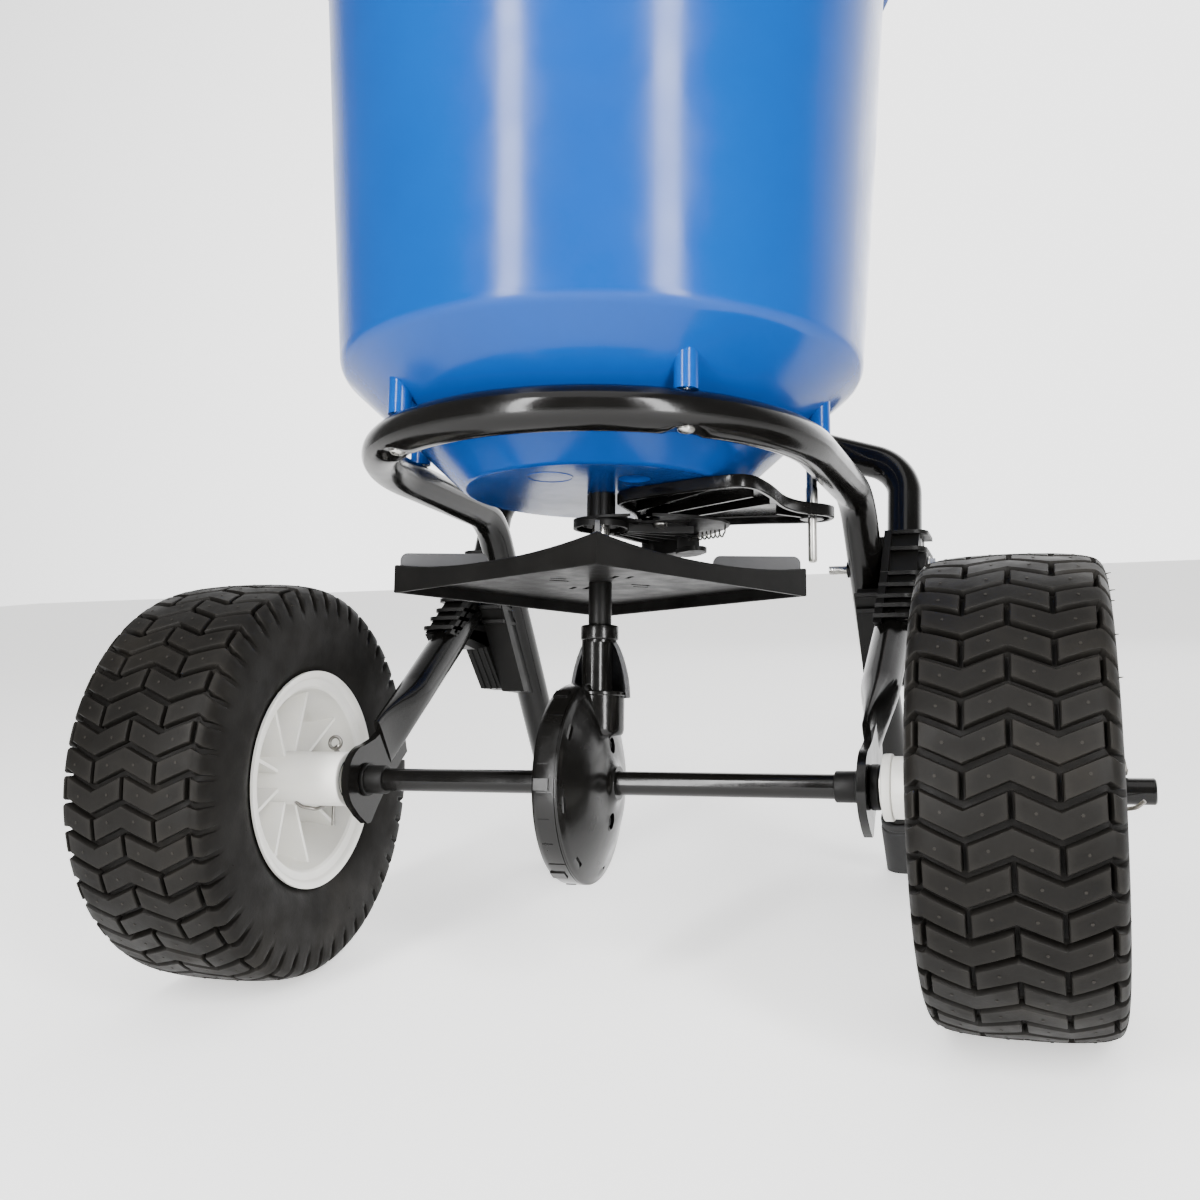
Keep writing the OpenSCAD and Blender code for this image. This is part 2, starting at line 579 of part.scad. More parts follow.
module rim() difference() {
    union() {
        about_wheel() polygon([
            [rim_lip_r, -rim_half], [rim_lip_r, -rim_half + 2.6], [seat_r + 2, -rim_half + 3.4],
            [seat_r, -rim_half + 5], [seat_r, -30], [well_r + 3, -20], [well_r + 3, 20],
            [seat_r, 30], [seat_r, rim_half - 5],
            [seat_r + 2, rim_half - 3.4], [rim_lip_r, rim_half - 2.6], [rim_lip_r, rim_half],
            [seat_r - 1, rim_half], [seat_r - 3, 30], [well_r, 20], [well_r, web_x + 1.6],
            [hub_d / 2 - 2, web_x + 1.6], [hub_d / 2 - 2, web_x - 1.6], [well_r, web_x - 1.6],
            [well_r, -20], [seat_r - 3, -30],
            [seat_r - 1, -rim_half]]);
        translate([0, 0, axle_z]) along_x(hub_in, hub_out, hub_d / 2);
        translate([0, 0, axle_z]) along_x(hub_in, hub_in + 5, hub_d / 2 + 1.3);
        for (i = [0:rim_ribs - 1]) translate([side_x, 0, axle_z]) rotate([360 * i / rim_ribs - rib_turn, 0, 0])
            rotate([90, 0, 0]) translate([0, 0, -1]) linear_extrude(height = 2)
            polygon([[-26, 14], [-32, 51], [-20, well_r + 0.5], [15, well_r + 0.5], [25, 14]]);
    }
    translate([0, 0, axle_z]) along_x(hub_in - 5, hub_out + 5, axle_r + fit);
    valve_place() cylinder(h = 20, r = valve_r + fit);
}
module rim_right() color([0.88, 0.87, 0.83]) parked() rim();
module rim_left() color([0.88, 0.87, 0.83]) parked() on_left() difference() {
    rim();
    translate([pin_x, 0, axle_z - 30]) cylinder(h = 60, r = 1.7);
}

valve_r = 3.2;
valve_at_r = 47;
module valve_place() translate([side_x, 0, axle_z]) rotate([15, 0, 0])
    translate([17, 0, -valve_at_r]) rotate([0, 90, 0]) children();
module valve() color([0.1, 0.1, 0.1]) valve_place() {
    cylinder(h = 20.5, r = valve_r);
    translate([0, 0, 20.4]) cylinder(h = 5, r = 4);
}
module valve_right() parked() valve();
module valve_left() parked() on_left() valve();

pin_x = 162;
end_pin_x = 263;
// Groove for a spring clip, just outside the left hub
clip_groove = [hub_out + 0.3, hub_out + 1.5];
groove_r = 5.6;
module axle() color([0.06, 0.06, 0.06]) parked() translate([0, 0, axle_z]) difference() {
    along_x(-axle_len / 2, axle_len / 2, axle_r);
    difference() {
        along_x(-clip_groove[1], -clip_groove[0], axle_r + 1);
        along_x(-clip_groove[1] - 1, -clip_groove[0] + 1, groove_r);
    }
    for (x = [-pin_x, end_pin_x]) translate([x, 0, -20]) cylinder(h = 40, r = 1.7);
    translate([ring_pin_x, 0, -20]) cylinder(h = 40, r = 1.6);
}
// Hairpin: a straight leg through the hub or axle, and a round loop on top
module hairpin(reach) {
    translate([0, 0, -reach - 6]) cylinder(h = 2 * reach + 12, r = 1.5);
    translate([0, 0, reach + 8]) rotate([90, 0, 0]) rotate_extrude() translate([3.4, 0]) circle(r = 1.2);
}
module hub_pin_left() color("silver") parked() translate([-pin_x, 0, axle_z]) hairpin(hub_d / 2);
module end_pin_right() color("silver") parked() translate([end_pin_x, 0, axle_z]) hairpin(axle_r);
module axle_washers() color("silver") parked() translate([0, 0, axle_z])
    for (w = [[-151.6, 11], [150.7, 11], [end_pin_x - 4.2, 9.5]]) difference() {
        along_x(w[0], w[0] + 0.9, w[1]);
        along_x(w[0] - 1, w[0] + 3, axle_r + 0.1);
    }

// Handle --------------------------------------------------------------------------------------
function on_handle(t) = tube_hip + t * up_dir;
module upper_tube() color([0.03, 0.03, 0.035]) difference() {
    union() {
        rod_between(on_handle(joint_at + 0.2), on_handle(handle_len), tube_r, tube_in);
        rod_between(on_handle(joint_at - joint_overlap + 4), on_handle(joint_at + 6),
                    tube_in - 0.3, tube_in - 1.8);
    }
    joint_hole();
    for (t = [brace_at, handle_len - 18]) framed(on_handle(t), [1, 0, 0], up_dir) rotate([90, 0, 0])
        translate([0, 0, -20]) cylinder(h = 40, r = bolt_hole_r);
    for (t = bracket_bolt_at) framed(on_handle(t), [1, 0, 0], up_dir) along_x(-20, 20, bolt_hole_r);
}
module upper_tube_right() parked() upper_tube();
module upper_tube_left() parked() on_left() upper_tube();

brace_at = 300;
module handle_brace() color([0.03, 0.03, 0.035]) parked()
    framed(on_handle(brace_at) - [tube_hip[0], 0, 0], [1, 0, 0], up_dir) difference() {
        translate([-90, tube_r + 0.1, -10]) cube([180, 3, 20]);
        for (s = [-1, 1]) translate([s * tube_hip[0], 0, 0]) rotate([-90, 0, 0])
            cylinder(h = 40, r = bolt_hole_r);
    }
module across_handle(t) for (s = [-1, 1])
    framed(on_handle(t) - [tube_hip[0] * (1 - s), 0, 0], [1, 0, 0], up_dir) children();
module brace_bolts() color("silver") parked() across_handle(brace_at) {
    rotate([90, 0, 0]) translate([0, 0, -tube_r - 7.5]) cylinder(h = tube_d + 9, r = small_bolt_r);
    translate([0, -tube_r - 0.2, 0]) rotate([90, 0, 0]) cylinder(h = 3.4, r = 4.8);
    translate([0, tube_r + 7.4, 0]) rotate([90, 0, 0]) cylinder(h = 4.2, r = 4.6, $fn = 6);
}

module joint_bolts() color("silver") parked() for (m = [0, 1]) mirror([m, 0, 0])
    framed(on_handle(joint_at - joint_overlap / 2), [1, 0, 0], up_dir) {
        along_x(-tube_r - 10, tube_r + 0.5, small_bolt_r);
        translate([tube_r + 0.2, 0, 0]) rotate([0, 90, 0]) cylinder(h = 3.5, r = 5);
    }
module joint_wing_nuts() color("silver") parked() for (m = [0, 1]) mirror([m, 0, 0])
    framed(on_handle(joint_at - joint_overlap / 2), [1, 0, 0], up_dir) difference() {
        union() {
            along_x(-tube_r - 6.5, -tube_r - 0.2, 5);
            for (s = [-1, 1]) translate([-tube_r - 8, s * 8.5, 0]) rotate([0, 90, 0]) cylinder(h = 3, r = 6);
            translate([-tube_r - 8, -8, -2]) cube([3, 16, 4]);
        }
        along_x(-60, 0, small_bolt_r + fit);
    }

bar_at = on_handle(handle_len) + 14 * up_dir;
bar_r = 12.7;
module bar_frame() framed([0, bar_at[1], bar_at[2]], [1, 0, 0], up_dir) children();
module handlebar() color([0.03, 0.03, 0.035]) parked() bar_frame() difference() {
    along_x(-bar_len / 2, bar_len / 2, bar_r);
    along_x(-bar_len, bar_len, bar_r - tube_wall);
    for (s = [-1, 1]) translate([s * tube_hip[0], 0, -40]) cylinder(h = 60, r = bolt_hole_r);
}
// Moulded saddles that join the crossbar to the two uprights
module bar_saddles() color([0.06, 0.06, 0.06]) parked() for (s = [-1, 1]) difference() {
    bar_frame() translate([s * tube_hip[0], 0, 0]) union() {
        along_x(-20, 20, bar_r + 4);
        translate([0, 0, -46]) cylinder(h = 46, r = tube_r + 4);
    }
    bar_frame() along_x(-200, 200, bar_r + fit);
    bar_frame() translate([s * tube_hip[0], 0, -60]) cylinder(h = 46 + 0.2, r = tube_r + fit);
    bar_frame() translate([s * tube_hip[0], -30, -32]) rotate([-90, 0, 0]) cylinder(h = 60, r = bolt_hole_r);
}
module saddle_bolts() color("silver") parked() bar_frame() for (s = [-1, 1])
    translate([s * tube_hip[0], 0, -32]) rotate([90, 0, 0]) {
        translate([0, 0, -tube_r - 9]) cylinder(h = tube_d + 16, r = small_bolt_r);
        translate([0, 0, tube_r + 4.1]) cylinder(h = 3.4, r = 4.8);
        translate([0, 0, -tube_r - 8.2]) cylinder(h = 4, r = 4.6, $fn = 6);
    }
grip_x = [112, bar_len / 2 - 3];
module grip() difference() {
    bar_frame() along_x(grip_x[0], grip_x[1], 17.5);
    bar_frame() along_x(0, bar_len, bar_r + fit);
}
module grip_right() color([0.05, 0.05, 0.05]) parked() grip();
module grip_left() color([0.05, 0.05, 0.05]) parked() on_left() grip();
module bar_caps() color([0.05, 0.05, 0.05]) parked() bar_frame() for (s = [0, 1]) mirror([s, 0, 0]) {
    along_x(bar_len / 2 + 0.1, bar_len / 2 + 4, bar_r);
    along_x(bar_len / 2 - 14, bar_len / 2 + 1, bar_r - tube_wall - 0.1);
}

// Shut-off control ----------------------------------------------------------------------------
bracket_bolt_at = [478, 522];
module lever_frame() framed(pivot_at * [[0, 0, 0], [0, 1, 0], [0, 0, 1]], [1, 0, 0], [0, 0, 1]) children();
stop_r = 96;
stop_rest = 25;
// Angles on the quadrant count from the vertical, positive towards the handle
module at_angle(a) rotate([-a, 0, 0]) children();

module lever_bracket() color([0.06, 0.06, 0.06]) parked() difference() {
    union() {
        lever_frame() translate([bracket_x[0], 0, 0]) rotate([90, 0, 90])
            linear_extrude(height = bracket_x[1] - bracket_x[0]) union() {
                difference() {
                    circle(r = stop_r + 7);
                    circle(r = stop_r - 7);
                    polygon([[0, 0], [-300, 0], [-300, 300], [-300 * tan(24), 300]]);
                    polygon([[0, 0], [300 * tan(34), 300], [300, 300], [300, -300], [-300, -300], [-300, 0]]);
                }
                polygon([[-43, 82], [-37, 85], [-6, 2], [-14, -8]]);
                polygon([[58, 73], [50, 78], [4, 8], [12, -8]]);
                circle(r = 13);
            }
        framed(on_handle(500) * [[0, 0, 0], [0, 1, 0], [0, 0, 1]], [1, 0, 0], up_dir)
            translate([bracket_x[0], -20, -34]) cube([3, 34, 68]);
    }
    lever_frame() along_x(60, 110, 3 + fit);
    for (t = bracket_bolt_at) framed(on_handle(t), [1, 0, 0], up_dir) along_x(0, 60, bolt_hole_r);
    // Curved slot for the rate stop
    lever_frame() translate([bracket_x[0] - 1, 0, 0]) rotate([90, 0, 90])
        linear_extrude(height = 8) difference() {
        circle(r = stop_r + 3.3);
        circle(r = stop_r - 3.3);
        polygon([[0, 0], [-300, 0], [-300, 300], [300 * tan(stop_rest - 32), 300]]);
        polygon([[0, 0], [300 * tan(stop_rest + 3), 300], [300, 300], [300, -300], [-300, -300], [-300, 0]]);
    }
}
module bracket_bolts() color("silver") parked() for (t = bracket_bolt_at)
    framed(on_handle(t), [1, 0, 0], up_dir) {
        along_x(-tube_r - 5, bracket_x[1] - tube_hip[0] + 0.4, small_bolt_r);
        translate([-tube_r - 4.2, 0, 0]) rotate([0, 90, 0]) cylinder(h = 4, r = 4.6, $fn = 6);
    }
module lever_pivot() color("silver") parked() lever_frame() {
    along_x(84, 98, 3);
    along_x(lever_x[1] + 0.3, lever_x[1] + 4, 5);
    translate([84, 0, 0]) rotate([0, 90, 0]) cylinder(h = 2.1, r = 5, $fn = 6);
}
lever_len = 178;
rod_slot = [9.5, 13];
module lever() color([0.06, 0.06, 0.06]) parked() lever_frame() at_angle(-lever_lean)
    translate([lever_x[0], 0, 0]) rotate([90, 0, 90])
    linear_extrude(height = lever_x[1] - lever_x[0]) difference() {
        union() {
            circle(r = 10);
            translate([-8, 0]) square([16, lever_len]);
            translate([0, lever_arm]) circle(r = 11);
        }
        circle(r = 3 + fit);
        translate([-rod_slot[0] / 2, lever_arm - rod_slot[1] / 2]) square(rod_slot);
    }
module lever_knob() color([0.75, 0.1, 0.05]) parked() lever_frame() at_angle(-lever_lean) difference() {
    union() {
        translate([(lever_x[0] + lever_x[1]) / 2, 0, lever_len - 26]) cylinder(h = 44, r1 = 9.5, r2 = 14);
        translate([(lever_x[0] + lever_x[1]) / 2, 0, lever_len + 18]) sphere(r = 14);
    }
    translate([lever_x[0] - 0.1, -8.1, lever_len - 60]) cube([lever_x[1] - lever_x[0] + 0.2, 16.2, 60.1]);
}
stop_x = [bracket_x[1] + 0.3, 93.6];
module rate_stop() color("silver") parked() lever_frame() at_angle(stop_rest) translate([0, 0, stop_r]) {
    along_x(stop_x[0], stop_x[1], 5.5);
    along_x(bracket_x[0] - 3.4, stop_x[1] + 8, 2.7);
    along_x(bracket_x[0] - 3.4, bracket_x[0] - 0.3, 6);
}
module stop_screw() color([0.06, 0.06, 0.06]) parked() lever_frame() at_angle(stop_rest)
    translate([0, 0, stop_r]) difference() {
        union() {
            along_x(stop_x[1] + 0.1, stop_x[1] + 9, 7);
            translate([stop_x[1] + 3, -13, -3]) cube([6, 26, 6]);
        }
        along_x(stop_x[1] - 1, stop_x[1] + 12, 2.7 + fit);
    }

// Gate ----------------------------------------------------------------------------------------
gate_pts = [[10.5, -12], [77, -32], [88, -31], [94, -24], [97, 0], [97, 30], [103, 48], [116, 60], [119, 70],
            [112, 81], [98, 82], [70, 76], [40, 74], [12, 82], [0, 75], [-1, 62], [9.5, 30], [10, 14]];
gate_rim = [[15, -9], [77, -28], [86, -27], [90, -22], [93, 0], [93, 31], [100, 50], [111, 62], [113, 70],
            [109, 76], [99, 77], [70, 71], [40, 69], [24, 70], [22, 60], [14, 50], [14, 16]];
module gate_plate() color([0.06, 0.06, 0.06]) parked() difference() {
    union() {
        translate([0, 0, gate_top - gate_t]) linear_extrude(height = gate_t) polygon(gate_pts);
        translate([0, 0, gate_top - gate_flange]) linear_extrude(height = gate_flange - 1) difference() {
            polygon(gate_pts);
            polygon(gate_rim);
        }
        translate([rod_eye[0], rod_eye[1], gate_top - gate_flange]) cylinder(h = gate_flange, r = 7);
        translate([gate_pivot[0], gate_pivot[1], gate_top - gate_flange]) cylinder(h = gate_flange, r = 11);
    }
    translate([gate_pivot[0], gate_pivot[1], 240]) cylinder(h = 50, r = 6 + fit);
    translate([rod_eye[0], rod_eye[1], 240]) cylinder(h = 50, r = rod_tip_r + fit);
}
module control_rod() color("silver") parked() {
    translate([rod_eye[0], rod_eye[1], rod_low]) cylinder(h = gate_top + 0.6 - rod_low, r = rod_tip_r);
    translate([rod_eye[0], rod_eye[1], gate_top + 0.5]) cylinder(h = rod_sleeve, r = rod_r + 0.4);
    bent_bar(rod_path, [12, 20, 8], rod_r, 0, 12);
}
module rod_cap() color([0.06, 0.06, 0.06]) parked() translate([0, rod_pin[1], rod_pin[2]]) difference() {
    along_x(79.5, 85, 5.2);
    along_x(81, 90, rod_r + fit);
}

hoop_tube();
foot_left();
foot_right();
lower_tube_left();
lower_tube_right();
clamp_outer_left();
clamp_outer_right();
clamp_inner_left();
clamp_inner_right();
clamp_bolts();
clamp_nuts();
axle_bushes();
hopper();
hopper_screws();
hopper_bush();
gate_guide();
guide_screw();
gearbox_left();
gearbox_right();
gearbox_screws();
upper_tube_left();
upper_tube_right();
handle_brace();
brace_bolts();
joint_bolts();
joint_wing_nuts();
handlebar();
bar_saddles();
saddle_bolts();
grip_left();
grip_right();
bar_caps();
lever_bracket();
bracket_bolts();
lever_pivot();
axle();
tyre_left();
rim_left();
valve_left();
hub_pin_left();
axle_washers();
end_pin_right();
ring_gear();
ring_gear_pin();
tyre_right();
rim_right();
valve_right();
spinner_shaft();
pinion();
impeller();
impeller_pin();
agitator();
gate_plate();
control_rod();
rod_cap();
lever();
lever_knob();
rate_stop();
stop_screw();
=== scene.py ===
import math
import random

import bmesh
import bpy
from mathutils import Matrix, Vector


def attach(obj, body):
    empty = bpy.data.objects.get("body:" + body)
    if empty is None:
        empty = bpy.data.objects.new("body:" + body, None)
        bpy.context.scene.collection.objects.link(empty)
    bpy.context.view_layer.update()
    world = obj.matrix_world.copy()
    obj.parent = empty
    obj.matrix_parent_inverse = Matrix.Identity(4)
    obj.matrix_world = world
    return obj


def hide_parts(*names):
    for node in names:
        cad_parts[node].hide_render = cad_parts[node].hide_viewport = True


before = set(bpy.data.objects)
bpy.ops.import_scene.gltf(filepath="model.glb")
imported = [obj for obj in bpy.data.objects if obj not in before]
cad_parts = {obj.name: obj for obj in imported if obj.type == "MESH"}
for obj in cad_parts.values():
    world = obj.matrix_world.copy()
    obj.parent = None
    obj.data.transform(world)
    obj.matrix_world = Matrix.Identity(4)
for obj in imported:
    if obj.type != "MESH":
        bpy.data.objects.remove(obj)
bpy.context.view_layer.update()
scene = bpy.context.scene

# ---------------------------------------------------------------------------
# Driving dimensions, in millimetres, with the spreader level and +Y towards the handle
# ---------------------------------------------------------------------------
LEAN = 10.0
AXLE_Z = 114.3
AXLE_R = 6.35
TYRE_R = 114.3
WHEEL_X = 216.6
TUBE_R = 11.0
HOOP_R = 120.6
HOOP_Z = 288.7
FLOOR_R = 76.0
FLOOR_Z = 272.6
WALL_R = 146.8
WALL_Z = 346.0
RIM_Z = 590.0
HOPPER_T = 3.0
IMPELLER_R = 113.5
IMPELLER_Z = 216.3
IMPELLER_TURN = 19.0
HANDLE_SLOPE = math.radians(58)
UP = Vector((0, math.cos(HANDLE_SLOPE), math.sin(HANDLE_SLOPE)))
FRONT = Vector((0, -math.sin(HANDLE_SLOPE), math.cos(HANDLE_SLOPE)))
HOOP_CORNER = Vector((123.5, 119.5, HOOP_Z))
LEG_END = Vector((128.3, 288.5, 62))
TUBE_START = Vector((142.5, 28, 142.6))
KNEE = Vector((147, 160, 244))
SHOULDER = Vector((146, 186, 318))
HIP = Vector((75, 188, 341))
JOINT_AT = 62
HANDLE_LEN = 730
BAR_LEN = 480
CLAMP_BOLT = (152, 247)
LUG_ANGLES = (6, 174, 231, 309)

# Level millimetres to the parked frame in metres
PARK = (Matrix.Translation((0, 0, AXLE_Z)) @ Matrix.Rotation(math.radians(-LEAN), 4, "X")
        @ Matrix.Translation((0, 0, -AXLE_Z)))
PLACE = Matrix.Scale(0.001, 4) @ PARK
MIRROR = Matrix.Scale(-1, 4, Vector((1, 0, 0)))
# Outlines drawn as (y, z) and extruded along X, and outlines drawn as (x, z)
SIDE_VIEW = Matrix(((0, 0, 1, 0), (1, 0, 0, 0), (0, 1, 0, 0), (0, 0, 0, 1)))
UPRIGHT = Matrix(((1, 0, 0, 0), (0, 0, -1, 0), (0, 1, 0, 0), (0, 0, 0, 1)))


# ---------------------------------------------------------------------------
# Mesh helpers
# ---------------------------------------------------------------------------
def frame_at(at, x_dir, z_dir):
    """A placement whose X and Z axes are the given directions."""
    z = Vector(z_dir).normalized()
    y = z.cross(Vector(x_dir)).normalized()
    x = y.cross(z)
    m = Matrix((x, y, z)).transposed().to_4x4()
    m.translation = Vector(at)
    return m


def along(axis, at=(0, 0, 0)):
    """A placement whose Z axis runs along the named axis."""
    dirs = {"x": ((0, 1, 0), (1, 0, 0)), "y": ((0, 0, 1), (0, 1, 0)), "z": ((1, 0, 0), (0, 0, 1))}
    return frame_at(at, *dirs[axis])


class Shape:
    """Closed shells gathered in one mesh, in level millimetres."""

    def __init__(self):
        self.bm = bmesh.new()

    def add(self, points, faces, m=None):
        """Adds points and the faces between them."""
        m = m or Matrix.Identity(4)
        verts = [self.bm.verts.new(m @ Vector(p)) for p in points]
        for f in faces:
            self.bm.faces.new([verts[i] for i in f])
        return self

    def join(self, other, m=None):
        """Adds a copy of another shape, turned right side out when the placement mirrors it."""
        temp = bpy.data.meshes.new("join")
        other.bm.to_mesh(temp)
        if m:
            temp.transform(m)
            if m.determinant() < 0:
                temp.flip_normals()
        self.bm.from_mesh(temp)
        bpy.data.meshes.remove(temp)
        return self

    def loft(self, rings, close=False, caps=True, m=None):
        """Skins rings of equal length; each ring is a closed loop."""
        n = len(rings[0])
        points = [p for ring in rings for p in ring]
        count = len(rings)
        faces = []
        for i in range(count if close else count - 1):
            a, b = i * n, ((i + 1) % count) * n
            for k in range(n):
                j = (k + 1) % n
                faces.append((a + k, a + j, b + j, b + k))
        if caps and not close:
            faces.append(tuple(reversed(range(n))))
            faces.append(tuple((count - 1) * n + k for k in range(n)))
        return self.add(points, faces, m)

    def lathe(self, profile, m=None, steps=96, start=0.0, sweep=360.0):
        """Turns a closed outline of (radius, height) points about the local Z axis."""
        full = sweep >= 360
        count = steps if full else steps + 1
        rings = []
        for i in range(count):
            a = math.radians(start + sweep * i / steps)
            rings.append([(r * math.cos(a), r * math.sin(a), h) for r, h in profile])
        return self.loft(rings, close=full, caps=not full, m=m)

    def rod(self, r, h0, h1, m=None, steps=32, r1=None, bore=0.0, edge=0.0):
        """A cylinder, cone or sleeve along local Z with an optional rounded edge."""
        r1 = r if r1 is None else r1
        if bore:
            outline = [(bore, h0), (bore, h1)]
        else:
            outline = []
        lip = []
        if edge:
            for i in range(4):
                a = math.radians(90 - 30 * i)
                lip.append((r1 - edge + edge * math.cos(a), h1 - edge + edge * math.sin(a)))
            for i in range(4):
                a = math.radians(-30 * i)
                lip.append((r - edge + edge * math.cos(a), h0 + edge + edge * math.sin(a)))
        else:
            lip = [(r1, h1), (r, h0)]
        if bore:
            return self.lathe(outline + lip, m, steps)
        return self.stack(lip[::-1], m, steps)

    def stack(self, profile, m=None, steps=32):
        """A solid through circles given as (radius, height) along local Z."""
        return self.loft([[(r * math.cos(2 * math.pi * k / steps), r * math.sin(2 * math.pi * k / steps), h)
                           for k in range(steps)] for r, h in profile], m=m)

    def prism(self, outline, h0, h1, m=None):
        """Extrudes a closed outline of (x, y) points along local Z."""
        part = Shape().loft([[(x, y, h0) for x, y in outline], [(x, y, h1) for x, y in outline]])
        return self.join(part, m)

    def block(self, x, y, z, m=None):
        """A box between pairs of x, y and z."""
        return self.prism([(x[0], y[0]), (x[1], y[0]), (x[1], y[1]), (x[0], y[1])], *z, m)

    @staticmethod
    def section_rings(stops, section):
        """Rings along stops of (point, direction), untwisted; section(i) gives (across, up) points."""
        side = None
        rings = []
        for i, (point, direction) in enumerate(stops):
            d = Vector(direction).normalized()
            if side is None:
                ref = Vector((0, 0, 1)) if abs(d.z) < 0.9 else Vector((1, 0, 0))
                side = d.cross(ref).normalized()
            side = (side - side.dot(d) * d).normalized()
            other = d.cross(side)
            rings.append([Vector(point) + a * side + b * other for a, b in section(i)])
        return rings

    def sweep(self, stops, section, m=None):
        """Moves a section along stops."""
        return self.loft(self.section_rings(stops, section), m=m)

    def pipe(self, stops, r, sides=28, bore=0.0):
        """A round bar along stops, or an open-ended tube when it has a bore."""
        def ring(rad):
            """Circle of a radius in the plane of a stop."""
            return [(rad * math.cos(2 * math.pi * k / sides), rad * math.sin(2 * math.pi * k / sides))
                    for k in range(sides)]
        if not bore:
            return self.sweep(stops, lambda i: ring(r))
        walls = self.section_rings(stops, lambda i: ring(r))
        lining = self.section_rings(stops, lambda i: ring(bore))
        return self.loft(walls + lining[::-1], close=True)

    def round_edges(self, width):
        """Bevels the sharp edges of a shape whose faces have normals, as those of a joined one have."""
        edges = [e for e in self.bm.edges if len(e.link_faces) == 2
                 and e.calc_face_angle(0) > math.radians(28)]
        bmesh.ops.bevel(self.bm, geom=edges, offset=width, segments=2, profile=0.6,
                        affect="EDGES", clamp_overlap=True)
        return self

    def cut(self, *others):
        """Removes the other shapes from this one."""
        a = self.to_object("cut_a")
        for other in others:
            b = other.to_object("cut_b")
            mod = a.modifiers.new("cut", "BOOLEAN")
            mod.operation = "DIFFERENCE"
            mod.solver = "EXACT"
            mod.object = b
            bpy.context.view_layer.update()
            done = bpy.data.meshes.new_from_object(a.evaluated_get(bpy.context.evaluated_depsgraph_get()))
            a.modifiers.clear()
            a.data = done
            bpy.data.objects.remove(b)
        self.bm.free()
        self.bm = bmesh.new()
        self.bm.from_mesh(a.data)
        bpy.data.objects.remove(a)
        return self

    def to_object(self, name):
        """The shape as an object in the scene, its faces pointing outwards."""
        bmesh.ops.recalc_face_normals(self.bm, faces=self.bm.faces[:])
        mesh = bpy.data.meshes.new(name)
        self.bm.to_mesh(mesh)
        obj = bpy.data.objects.new(name, mesh)
        scene.collection.objects.link(obj)
        return obj


def both_sides(shape):
    """The shape and its mirror image on the left."""
    pair = Shape()
    pair.join(shape)
    pair.join(shape, MIRROR)
    return pair


def piece(name, shape, body, material, replaces=(), sharp=32.0):
    """Turns a shape into a finished object that rides on a body; the slot is the CAD's material name."""
    obj = shape.to_object(name)
    shape.bm.free()
    mesh = obj.data
    mesh.transform(PLACE)
    mesh.polygons.foreach_set("use_smooth", [True] * len(mesh.polygons))
    mesh.set_sharp_from_angle(angle=math.radians(sharp))
    mesh.materials.append(MAT[material])
    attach(obj, body)
    if replaces:
        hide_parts(*replaces)
    return obj


# ---------------------------------------------------------------------------
# Plane outlines and curves
# ---------------------------------------------------------------------------
def arc(centre, r, a0, a1, steps):
    """Points of an arc in a plane; angles in degrees."""
    return [(centre[0] + r * math.cos(math.radians(a0 + (a1 - a0) * i / steps)),
             centre[1] + r * math.sin(math.radians(a0 + (a1 - a0) * i / steps))) for i in range(steps + 1)]


def smooth_outline(points, rounds=2):
    """Corner cutting on a closed outline."""
    for _ in range(rounds):
        cut = []
        for i, p in enumerate(points):
            q = points[(i + 1) % len(points)]
            cut.append((0.78 * p[0] + 0.22 * q[0], 0.78 * p[1] + 0.22 * q[1]))
            cut.append((0.22 * p[0] + 0.78 * q[0], 0.22 * p[1] + 0.78 * q[1]))
        points = cut
    return points


def inset(points, d):
    """A closed counter-clockwise outline moved inwards by d."""
    moved = []
    for i, p in enumerate(points):
        a, b = Vector(points[i - 1]), Vector(points[(i + 1) % len(points)])
        t = (b - a).normalized()
        moved.append((p[0] - t.y * d, p[1] + t.x * d))
    return moved


def blend_corner(a, b, c, r, steps=6):
    """Round corner of radius r at b between a and c, as plane points."""
    a, b, c = Vector(a), Vector(b), Vector(c)
    d0, d1 = (b - a).normalized(), (c - b).normalized()
    turn = d0.angle(d1)
    side = 1 if d0.x * d1.y - d0.y * d1.x > 0 else -1
    normal = Vector((-d0.y, d0.x)) * side
    middle = b - d0 * r * math.tan(turn / 2) + normal * r
    points = []
    for i in range(steps + 1):
        w = turn * i / steps
        points.append(tuple(middle - normal * r * math.cos(w) + d0 * r * math.sin(w)))
    return points


def curve(p0, p1, p2, p3, t):
    """Place at t on the smooth curve from p1 to p2; p0 and p3 are the neighbours."""
    return 0.5 * (2 * p1 + (p2 - p0) * t + (2 * p0 - 5 * p1 + 4 * p2 - p3) * t * t
                  + (3 * p1 - p0 - 3 * p2 + p3) * t ** 3)


# ---------------------------------------------------------------------------
# Threads, heads, nuts and wires
# ---------------------------------------------------------------------------
def threaded_rod(r, h0, h1, m, pitch=1.0, depth=0.32):
    """A bar with a helical thread along local Z."""
    per_turn = 20
    rings = []
    steps = max(2, int((h1 - h0) / (pitch / 4)))
    for i in range(steps + 1):
        h = h0 + (h1 - h0) * i / steps
        ring = []
        for k in range(per_turn):
            phase = (h / pitch - k / per_turn) % 1.0
            rad = r - depth * abs(2 * phase - 1)
            ring.append((rad * math.cos(2 * math.pi * k / per_turn), rad * math.sin(2 * math.pi * k / per_turn), h))
        rings.append(ring)
    return Shape().loft(rings, m=m)


